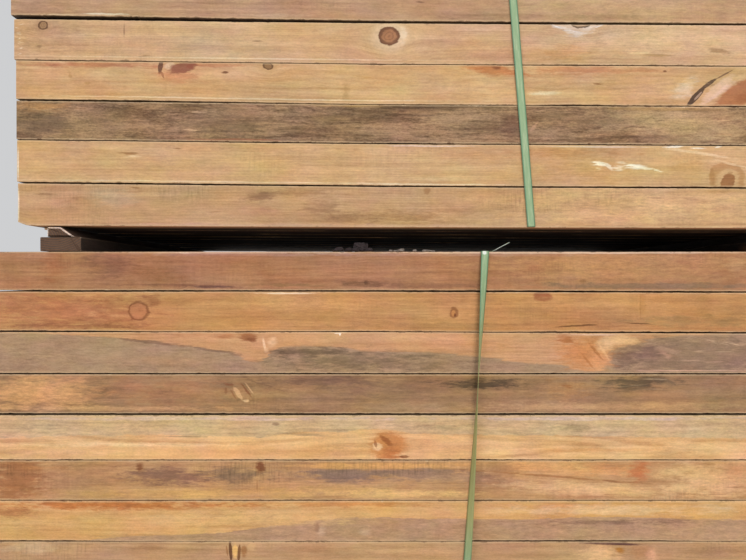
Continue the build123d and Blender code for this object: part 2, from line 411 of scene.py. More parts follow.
def make_branches():
    """Small knots wherever a branch left the trunk, a few decimetres apart, different in every timber."""
    t, given, out = new_group("Branches", {
        "Place": "Vector", "Stock": "Vector", "From": "Float", "Heart": "Color", "Ring": "Color",
        "Under": "Color"},
        {"Colour": "Color"})
    place = add(t, "VectorMath", (given["Stock"], (53.0, 13.0, 37.0), given["Place"]),
                operation="MULTIPLY_ADD")
    spread = add(t, "VectorMath", (place, (3.2, 11.0, 11.0)), operation="MULTIPLY")
    cells = add(t, "TexVoronoi", {"Vector": spread, "Scale": 1.0}, feature="F1")
    apart = add(t, "VectorMath", (spread, cells.outputs["Position"]), operation="SUBTRACT")
    apart = add(t, "VectorMath", (apart, (0.24, 0.091, 0.091)), operation="MULTIPLY")
    reach = add(t, "VectorMath", (apart,), operation="LENGTH").outputs["Value"]
    chance = add(t, "SeparateColor", (cells.outputs["Color"],))
    size = add(t, "MapRange", (chance.outputs[0], 0.35, 1.0, 0.0001, 0.015))
    reach = add(t, "Math", (reach, size), operation="DIVIDE")
    whole = knot_face(t, given, reach, 17.0, 0.4, 0.65, 0.85)
    along = add(t, "SeparateXYZ", (given["Place"],))
    past = add(t, "Math", (along.outputs[0], given["From"]), operation="GREATER_THAN")
    near = add(t, "MapRange", (reach, 2.6, 0.9, 0.0, 0.35), **SOFT)
    near = add(t, "Math", (near, past), operation="MULTIPLY")
    around = add(t, "MixRGB", (near, given["Under"], given["Heart"]))
    mask = add(t, "MapRange", (reach, 1.2, 0.85, 0.0, 0.85), **SOFT)
    mask = add(t, "Math", (mask, past), operation="MULTIPLY")
    mix = add(t, "MixRGB", (mask, around, whole))
    t.links.new(mix.outputs[0], out["Colour"])
    return t


def make_end_grain():
    """The sawn end: darker and greyer than the sides, with open pores and radial drying cracks."""
    t, given, out = new_group("End grain", {
        "Place": "Vector", "Stock": "Vector", "Axis": "Vector", "Crack": "Color", "Grey": "Color",
        "Under": "Color", "Height": "Float"},
        {"Colour": "Color", "Height": "Float"})
    surface = add(t, "NewGeometry")
    facing = add(t, "VectorMath", (surface.outputs["True Normal"], given["Axis"]), operation="DOT_PRODUCT")
    facing = add(t, "Math", (facing.outputs["Value"],), operation="ABSOLUTE")
    on_end = add(t, "MapRange", (facing, 0.7, 0.8, 0.0, 1.0))
    pith = add(t, "VectorMath", (given["Stock"], PITH_SPREAD, PITH_LEAST), operation="MULTIPLY_ADD")
    spoke = add(t, "VectorMath", (given["Place"], pith), operation="SUBTRACT")
    parts = add(t, "SeparateXYZ", (spoke,))
    angle = add(t, "Math", (parts.outputs[1], parts.outputs[2]), operation="ARCTAN2")
    flat = add(t, "VectorMath", (spoke, (0.0, 1.0, 1.0)), operation="MULTIPLY")
    radius = add(t, "VectorMath", (flat,), operation="LENGTH").outputs["Value"]
    shift = add(t, "SeparateXYZ", (given["Stock"],))
    ray_at = add(t, "CombineXYZ", (angle, radius, shift.outputs[0]))
    ray = add(t, "Group", (ray_at, (9.0, 6.0, 40.0), 3.0, 0.6), node_tree=clouds)
    crack = add(t, "MapRange", (ray, 0.66, 0.7, 0.0, 0.85), **SOFT)
    # Growth rings, wavy, darker where the summer wood is
    wander = add(t, "TexNoise", {"Vector": given["Place"], "Scale": 17.0, "Detail": 2.0})
    bent = add(t, "Math", (wander, 0.012, radius), operation="MULTIPLY_ADD")
    years = add(t, "Math", (bent, 2 * pi / END_RING_WIDTH), operation="MULTIPLY")
    years = add(t, "Math", (years,), operation="SINE")
    rings = add(t, "MapRange", (years, 0.0, 0.9, 0.0, 0.42), **SOFT)
    pores = add(t, "TexNoise", {"Vector": given["Place"], "Scale": 420.0, "Detail": 2.0})
    stain = add(t, "TexNoise", {"Vector": given["Place"], "Scale": 26.0, "Detail": 3.0})
    grey = add(t, "MapRange", (stain, 0.35, 0.65, 0.15, 0.6))
    dull = add(t, "MixRGB", (grey, given["Under"], given["Grey"]))
    open_pores = add(t, "MapRange", (pores, 0.42, 0.62, 0.25, 0.0))
    dull = add(t, "MixRGB", (open_pores, dull, given["Crack"]))
    dull = add(t, "MixRGB", (rings, dull, "7A5232"))
    cracked = add(t, "MixRGB", (crack, dull, given["Crack"]))
    mix = add(t, "MixRGB", (on_end, given["Under"], cracked))
    t.links.new(mix.outputs[0], out["Colour"])
    dip = add(t, "Math", (crack, on_end), operation="MULTIPLY")
    sunk = add(t, "Math", (dip, -2.0, given["Height"]), operation="MULTIPLY_ADD")
    t.links.new(sunk.outputs[0], out["Height"])
    return t


def make_arris():
    """Near a timber's long edges: torn pale threads in some places and handled, dirty edges in others, over a
    pale rim that is partly worn wood and partly painted highlight.
    """
    t, given, out = new_group("Arris", {
        "Place": "Vector", "Girth": "Vector", "Stock": "Vector", "Light": "Color", "Dirt": "Color",
        "Amount": "Float", "Under": "Color"},
        {"Colour": "Color"})
    half = add(t, "VectorMath", (given["Girth"], (0.5, 0.5, 0.5)), operation="MULTIPLY")
    middle = add(t, "VectorMath", (given["Place"], half), operation="SUBTRACT")
    away = add(t, "VectorMath", (middle,), operation="ABSOLUTE")
    inset = add(t, "VectorMath", (half, away), operation="SUBTRACT")
    parts = add(t, "SeparateXYZ", (inset,))
    near = add(t, "Math", (parts.outputs[1], parts.outputs[2]), operation="MAXIMUM")
    place = add(t, "VectorMath", (given["Stock"], (3.0, 47.0, 41.0), given["Place"]),
                operation="MULTIPLY_ADD")
    reach = add(t, "Group", (place, (38.0, 40.0, 40.0), 4.0, 0.75), node_tree=clouds)
    reach = add(t, "MapRange", (reach, 0.5, 0.78, 0.0002, 0.006))
    share = add(t, "Math", (near, reach), operation="DIVIDE")
    edge = add(t, "MapRange", (share, 1.1, 0.6, 0.0, given["Amount"]), **SOFT)
    which = add(t, "Group", (place, (9.0, 30.0, 30.0), 3.0, 0.7), node_tree=clouds)
    which = add(t, "MapRange", (which, 0.54, 0.62, 0.0, 1.0))
    torn = add(t, "MixRGB", (which, given["Dirt"], given["Light"]))
    # The last few millimetres are paler nearly everywhere: worn fibres, and a painted highlight where the
    # arris would catch the light
    rubbed_and_lit = add(t, "MapRange", (near, 0.0048, 0.0016, 0.0, 0.34), **SOFT)
    rubbed_and_lit = add(t, "MixRGB", (rubbed_and_lit, given["Under"], given["Light"]))
    mix = add(t, "MixRGB", (edge, rubbed_and_lit, torn))
    t.links.new(mix.outputs[0], out["Colour"])
    return t


clouds = make_clouds()
ragged_place = make_ragged_place()
mark = make_mark()
knot = make_knot()
flow = make_flow()
sawn_pine = make_sawn_pine()
weathering = make_weather()
branches = make_branches()
handled_face = make_handled_face()
painted_seam_shade = make_painted_seam_shade()
end_grain = make_end_grain()
arris = make_arris()


# Timber materials

# A curve's own range is 0 to 1: these bring a timber's length and height, in metres, into it
CURVE_ALONG = 0.5
CURVE_UP = 10.0


def lay_stain(t, edges, kind, line, depth, strength, colour, under):
    """A wet or grey zone below (or above, with a negative depth) a line drawn along the timber's face."""
    parts = add(t, "SeparateXYZ", (edges[kind],))
    along = add(t, "Math", (parts.outputs[0], CURVE_ALONG), operation="MULTIPLY")
    drawn = add(t, "FloatCurve", {"Value": along},
                curve=[(at.x * CURVE_ALONG, at.z * CURVE_UP) for at in line])
    height = add(t, "Math", (drawn, 1 / CURVE_UP), operation="MULTIPLY")
    below = add(t, "Math", (height, parts.outputs[2]), operation="SUBTRACT")
    below = add(t, "Math", (edges["Fray"], max(0.02, abs(depth) * MM * 1.6), below),
                operation="MULTIPLY_ADD")
    mask = add(t, "MapRange", (below, 0.0, depth * MM, 0.0, strength), **SOFT)
    speck = add(t, "Math", (edges["Speck"], 0.9, 1.0), operation="MULTIPLY_ADD")
    speckled = add(t, "VectorMath", {0: colour[:3], "Scale": speck}, operation="SCALE")
    return add(t, "MixRGB", (mask, under, speckled)).outputs[0]


# damp sets how much painted seam shade the faces that lie under another course get; undersides always get it
def pine_material(name, tone, knots=(), stains=(), marks=(), plain_to=-1.0, damp=0.0, axis=(1.0, 0.0, 0.0)):
    """Rough-sawn pine in one tone, with the knots, stains and marks of one timber where it has its own."""
    made, t = new_material(name)
    place, girth, stock = (add(t, "Attribute", attribute_name=own).outputs["Vector"] for own in OWN_PLACES)
    edges = add(t, "Group", {"Place": place, "Stock": stock}, node_tree=ragged_place).outputs
    fray = {"Fray": edges["Fray"]}
    bent = place
    for inputs in knots:
        bent = add(t, "Group", {
            "Place": bent, "Centre": inputs["Centre"], "Half": inputs["Half"] * BENT_FIBRES,
            "Tilt": inputs["Tilt"]},
            node_tree=flow).outputs[0]
    grain = {"Place": bent, "Stock": stock}
    pine = add(t, "Group", {
        **grain, "Light": tone["light"], "Dark": tone["dark"], "Warm": tone["warm"],
        "Figure": tone["figure"],
        "Saw": tone["saw"], "Blotch": tone["blotch"]}, node_tree=sawn_pine).outputs
    colour = add(t, "Group", {
        "Place": edges["Wavy"], "Stock": stock, "From": plain_to, "Heart": tone["heart"],
        "Ring": tone["ring"],
        "Under": pine["Colour"]}, node_tree=branches).outputs[0]
    for kind, *stain in stains:
        colour = lay_stain(t, edges, kind, *stain, colour)
    colour = add(t, "Group", {
        **grain, "Amount": tone["weather"], "Grey": tone["grey"], "Mould": tone["mould"], "Under": colour},
        node_tree=weathering).outputs[0]
    for kind, inputs in marks:
        colour = add(t, "Group", {
            **inputs, **fray, "Place": place if kind == "Crisp" else edges[kind], "Speck": edges["Speck"],
            "Under": colour}, node_tree=mark).outputs[0]
    for inputs in knots:
        colour = add(t, "Group", {**inputs, **fray, "Place": edges["Wavy"], "Under": colour},
                     node_tree=knot).outputs[0]
    colour = add(t, "Group", {
        **grain, "Shade": pine["Shade"], "Saw": tone["saw"], "Amount": tone["wear"], "Under": colour},
        node_tree=handled_face).outputs[0]
    colour = add(t, "Group", {
        "Place": place, "Girth": girth, "Stock": stock, "Light": tone["thread"], "Dirt": tone["dirt"],
        "Amount": tone["arris"], "Under": colour}, node_tree=arris).outputs[0]
    # Painted shade where the courses lie on each other
    colour = add(t, "Group", {
        "Place": place, "Amount": damp, "Fresh and lit": tone["fresh_and_lit"], "Under": colour},
        node_tree=painted_seam_shade).outputs[0]
    ends = add(t, "Group", {
        "Place": place, "Stock": stock, "Axis": axis, "Crack": "4A3425", "Grey": tone["end"],
        "Under": colour,
        "Height": pine["Height"]}, node_tree=end_grain).outputs
    bump = add(t, "Bump", {"Strength": 0.45, "Distance": 0.0012, "Height": ends["Height"]})
    wood = add(t, "BsdfPrincipled", {
        "Base Color": ends["Colour"], "Roughness": pine["Rough"], "Normal": bump,
        "Specular IOR Level": 0.3})
    add(t, "OutputMaterial", {"Surface": wood})
    return made


# What each point of a timber knows: its place from the timber's corner, and the timber's girth and number
OWN_PLACES = ("sawn", "girth", "stock")

# Fibres bend round a knot this many times as far out as it reaches
BENT_FIBRES = 2.4

# Rough-sawn pine, band-sawn and stored outdoors: matt and a little furry, turned from cream to tan and grey
TAN = {
    "light": "D2AC86", "dark": "A5794F", "warm": "C08E60", "figure": 0.14, "saw": 0.5, "blotch": 0.5,
    "weather": 0.15,
    # thread is the pale of torn threads and of the painted highlight along the arrises
    "grey": "A38B72", "mould": "6E5844", "thread": "DCC19B", "dirt": "6B4E38", "arris": 0.5, "wear": 1.0,
    "heart": "9C6A42", "ring": "5E3B26", "end": "8F7A64", "fresh_and_lit": 0.0}
TONES = {
    "tan": TAN,
    "golden": {**TAN, "light": "E0BC8C", "dark": "B98652", "warm": "D29A5C"},
    "grey": {**TAN, "light": "B4977A", "dark": "7A624C", "warm": "94785C", "weather": 0.6},
    "orange": {**TAN, "light": "DDAE76", "dark": "AC7440", "warm": "C98646"},
    "straw": {**TAN, "light": "E3C498", "dark": "B88E60", "warm": "D6A872", "weather": 0.08},
    "red": {**TAN, "light": "C89468", "dark": "8F5E3C", "warm": "AC7048"}}
TONE_NAMES = list(TONES)

generic_pine = [pine_material(f"Rough-sawn pine, {label}", tone) for label, tone in TONES.items()]


# Timbers

sawing = Random(41)


def plan_layer(base, height, middle, front_slide=None):
    """The corners of one layer's timbers, by the same fixed rule as the solids."""
    widths = [SIDE + sawing.uniform(-WIDTH_PLAY, WIDTH_PLAY) for _ in range(ACROSS)]
    slides = [sawing.uniform(-END_PLAY, END_PLAY) for _ in range(ACROSS)]
    if front_slide is not None:
        slides[0] = -front_slide
    excess = sum(widths) - ACROSS * SIDE
    widths = [width - excess / 2 / ACROSS for width in widths]
    front = -(sum(widths) + ROUGH_GAP * (ACROSS - 1)) / 2
    corners = []
    for width, slide in zip(widths, slides):
        low = Vector((middle + slide - LENGTH / 2, front, base))
        corners.append((low * MM, (low + Vector((LENGTH, width, height))) * MM))
        front += width + ROUGH_GAP
    return corners


def plan_pack(name, base, heights, middle, slides=None):
    layers = {}
    for level, height in enumerate(heights):
        slide = slides[level] if slides else None
        layers[f"{name}_layer_{level + 1:02d}"] = plan_layer(base, height, middle, slide)
        base += height + ROUGH_GAP
    return layers


layers = plan_pack("lower", BEARER_RISE, LOWER_HEIGHTS, -STAGGER / 2)
layers.update(plan_pack("upper", UPPER_BASE, UPPER_HEIGHTS, STAGGER / 2, UPPER_SLIDES))


def along_x(bm):
    return [edge for edge in bm.edges
            if abs(edge.verts[0].co.x - edge.verts[1].co.x) > 0.9 * edge.calc_length()]


def line_value(line, x):
    """The height of a drawn line at x, straight between its points and level beyond them."""
    if x <= line[0][0]:
        return line[0][1]
    for (x0, y0), (x1, y1) in zip(line, line[1:]):
        if x < x1:
            return y0 + (y1 - y0) * (x - x0) / (x1 - x0)
    return line[-1][1]


def saw_timber(into, low, high, slices, chance, tone=0, seam=None, ragged=0.0012):
    """One timber, sawn between two corners, with broken and torn edges; each of its points knows its place.
    Slices say how far along it is cut how finely, and seam how much wood the lower edges lack."""
    one = bmesh.new()
    sawn, girth, stock = (one.verts.layers.float_vector.new(label) for label in OWN_PLACES)
    bmesh.ops.create_cube(one, size=1.0)
    bmesh.ops.scale(one, vec=high - low, verts=one.verts)
    bmesh.ops.translate(one, vec=(low + high) / 2, verts=one.verts)
    bmesh.ops.bevel(
        one, geom=along_x(one), offset=0.0015, segments=2, profile=0.5, affect="EDGES", material=-1)
    start = low.x
    for until, step in slices:
        stop = min(low.x + until, high.x)
        if stop < high.x:
            bmesh.ops.bisect_plane(
                one, geom=one.verts[:] + one.edges[:] + one.faces[:], plane_co=(stop, 0, 0),
                plane_no=(1, 0, 0))
        here = [edge for edge in along_x(one) if start - 1e-6 <= min(v.co.x for v in edge.verts)
                and max(v.co.x for v in edge.verts) <= stop + 1e-6]
        bmesh.ops.subdivide_edges(one, edges=here, cuts=max(1, round((stop - start) / step)) - 1,
                                  use_grid_fill=True)
        start = stop
    seed = Vector([chance.uniform(-50, 50) for _ in range(3)])
    mine = Vector([chance.random() for _ in range(3)])
    middle = (low + high) / 2
    for vert in one.verts:
        place = vert.co - low
        vert[sawn], vert[girth], vert[stock] = place, high - low, mine
        top, back = vert.co.z > middle.z, vert.co.y > middle.y
        side = Vector((0, 7.0 * back, 13.0 * top))
        slow = noise.noise(Vector((place.x * 2.1, 0, 0)) + seed + side) * 0.0005
        quick = noise.noise(Vector((place.x * 60.0, 0, 3.0)) + seed + side)
        fine = noise.noise(Vector((place.x * 190.0, 5.0, 0)) + seed + side)
        where = noise.noise(Vector((place.x * 7.0, 0, 9.0)) + seed + side)
        lack = max(0.0, 0.35 * quick + 0.3 * fine + 0.5 * where) * ragged * 2.5
        lack += max(0.0, slow) + 0.00015
        vert.co.z += -lack if top else lack
        vert.co.y += -0.5 * lack if back else 0.5 * lack
        if seam and not top:
            vert.co.z += line_value(seam, place.x / MM) * MM * (0.95 + 0.14 * quick + 0.1 * fine)
    for face in one.faces:
        face.material_index = tone
    finished = bpy.data.meshes.new("timber")
    one.to_mesh(finished)
    one.free()
    into.from_mesh(finished)
    bpy.data.meshes.remove(finished)


def new_bundle():
    into = bmesh.new()
    for label in OWN_PLACES:
        into.verts.layers.float_vector.new(label)
    return into


def finish_piece(name, bm, materials, nodes=(), shade=15.0):
    """Turns a mesh in the making into a piece of the part."""
    mesh = bpy.data.meshes.new(name)
    bm.to_mesh(mesh)
    bm.free()
    for polygon in mesh.polygons:
        polygon.use_smooth = True
    mesh.set_sharp_from_angle(angle=radians(shade))
    for material in materials:
        mesh.materials.append(material)
    piece = bpy.data.objects.new(name, mesh)
    bpy.context.scene.collection.objects.link(piece)
    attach(piece, "root")
    if nodes:
        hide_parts(*nodes)
    return piece


# Neither pack was strapped quite square. Along each, how much its courses rise or fall, in metres, and the
# share of that at each height from its foot
SKEW = {
    "upper": (((-1.955, 0.0068), (-1.093, -0.0034), (-0.193, -0.0085), (0.6, -0.004), (1.5, 0.0)),
              ((0.0, 0.4), (0.1, 0.85), (0.3, 1.0), (0.6, 1.0), (1.0, 0.0))),
    "lower": (((-1.1, 0.0), (-0.2, -0.0036), (0.6, -0.0036), (1.5, 0.0)),
              ((0.7, 0.0), (0.8, 1.0), (0.9, 0.85), (1.0, 0.0)))}
FOOT = {"upper": UPPER_BASE * MM, "lower": LOWER_BASE * MM}


def skew(pack, x, z):
    """How much higher a pack's courses lie at a place than if it were square."""
    along, shares = SKEW[pack]
    return line_value(shares, z - FOOT[pack]) * line_value(along, x)


def skew_courses(bm, pack):
    for vert in bm.verts:
        vert.co.z += skew(pack, vert.co.x, vert.co.z)


# The photograph shows this much of a front timber, in metres, and its marks are read up to here
SEEN = 1.9
SHOWN = 1.85

# How finely timbers are cut along their length
SEEN_STEP = 0.005
HIDDEN_STEP = 0.04

# How much wood each seen timber's lower edge lacks: millimetres along it, and of height there
SEAMS = {
    "upper_layer_01": ((0, 8.0), (22, 0.4), (34, 0.0)),
    "upper_layer_06": ((0, 9.0), (300, 8.0), (900, 5.0), (1800, 3.5)),
    "upper_layer_05": ((0, 1.5), (600, 0.8), (1800, 1.2)),
    "upper_layer_04": ((0, 3.5), (300, 3.0), (460, 2.5), (700, 0.8), (1250, 0.6), (1350, 2.6), (1480, 0.8),
                       (1800, 1.2)),
    "upper_layer_03": ((0, 1.2), (1800, 1.0)),
    "upper_layer_02": ((0, 3.2), (900, 2.6), (1800, 3.0)),
    "lower_layer_10": ((0, 2.6), (600, 2.2), (1800, 2.6)),
    "lower_layer_09": ((0, 3.0), (280, 2.6), (420, 0.8), (1250, 0.8), (1400, 2.4), (1900, 2.6)),
    "lower_layer_08": ((0, 2.4), (800, 1.6), (1900, 2.2)),
    "lower_layer_07": ((0, 4.2), (900, 3.6), (1900, 4.2)),
    "lower_layer_06": ((0, 1.2), (1900, 1.4)),
    "lower_layer_05": ((0, 0.6), (1900, 0.6)),
    "lower_layer_04": ((0, 2.6), (230, 2.0), (330, 0.4), (1150, 0.4), (1200, 2.6), (1650, 2.2),
                       (1750, 0.8)),
    "lower_layer_03": ((0, 0.5), (1900, 0.5))}

# The photograph's scale at the timbers' faces, in millimetres to a pixel, and two places in it, in pixels:
# how far across the upper pack's end is, and how far down the lower pack's head
PIXEL = 2.427
END_ACROSS = 18.0
HEAD_DOWN = 251.4

# What is read from the photograph, in its pixels: where a feature's middle is, its half width and half
# height. Then how strongly it covers, its colours, how soft its edge is and how many degrees it is tilted
Knot = namedtuple("Knot", "across down half_width half_height heart ring halo strength tilt",
                  defaults=(0.9, 0))
Mark = namedtuple("Mark", "kind across down half_width half_height strength colour edge tilt",
                  defaults=(1, 0))

# A stain lies below a line of places, or above it where its depth, in millimetres, is negative
Stain = namedtuple("Stain", "kind line depth strength colour")


def tinted(colour, tint):
    """A colour read from the photograph, in the light that the timber lies in here: its tint, as shares of
    red, green and blue, brings the timber's mean colour in the picture to the photograph's."""
    return [part * share for part, share in zip(linear(colour), (*tint, 1.0))]


def on_face(label, across, down):
    """A place in the photograph, as metres along and up from the lower left corner of a front timber."""
    pack = label.split("_")[0]
    corner = layers[label][0][0]
    x = (UPPER_LEFT + (across - END_ACROSS) * PIXEL) * MM
    z = (LOWER_HEAD + (HEAD_DOWN - down) * PIXEL) * MM
    return Vector((x - corner.x, 0.0, z - skew(pack, x, z) - corner.z))


def laid_out(label, feature):
    """The sockets of a knot or mark that say where it is, how large and how turned."""
    return {
        "Centre": on_face(label, feature.across, feature.down), "Tilt": radians(feature.tilt),
        "Half": Vector((feature.half_width * PIXEL * MM, 1.0, feature.half_height * PIXEL * MM)),
        "Strength": feature.strength}


def dress_timber(label, tint, tone, knots=(), stains=(), marks=()):
    """One front timber's own pine, with all that the photograph shows on it."""
    tone = {key: tinted(value, tint) if isinstance(value, str) else value for key, value in tone.items()}
    knots = [Knot(*one) for one in knots]
    marks = [Mark(*one) for one in marks]
    stains = [Stain(*one) for one in stains]
    return pine_material(
        f"Rough-sawn pine, {label}", {**TAN, **tone}, plain_to=SHOWN,
        # The lower pack's head has nothing lying on it, so its upward faces get no painted seam shade
        damp=0.0 if label == "lower_layer_10" else 1.0,
        knots=[{**laid_out(label, one), "Heart": tinted(one.heart, tint), "Ring": tinted(one.ring, tint),
                "Halo": tinted(one.halo, tint)} for one in knots],
        stains=[(one.kind, [on_face(label, *at) for at in one.line], one.depth, one.strength,
                 tinted(one.colour, tint)) for one in stains],
        marks=[(one.kind, {**laid_out(label, one), "Edge": one.edge, "Colour": tinted(one.colour, tint)})
               for one in marks])


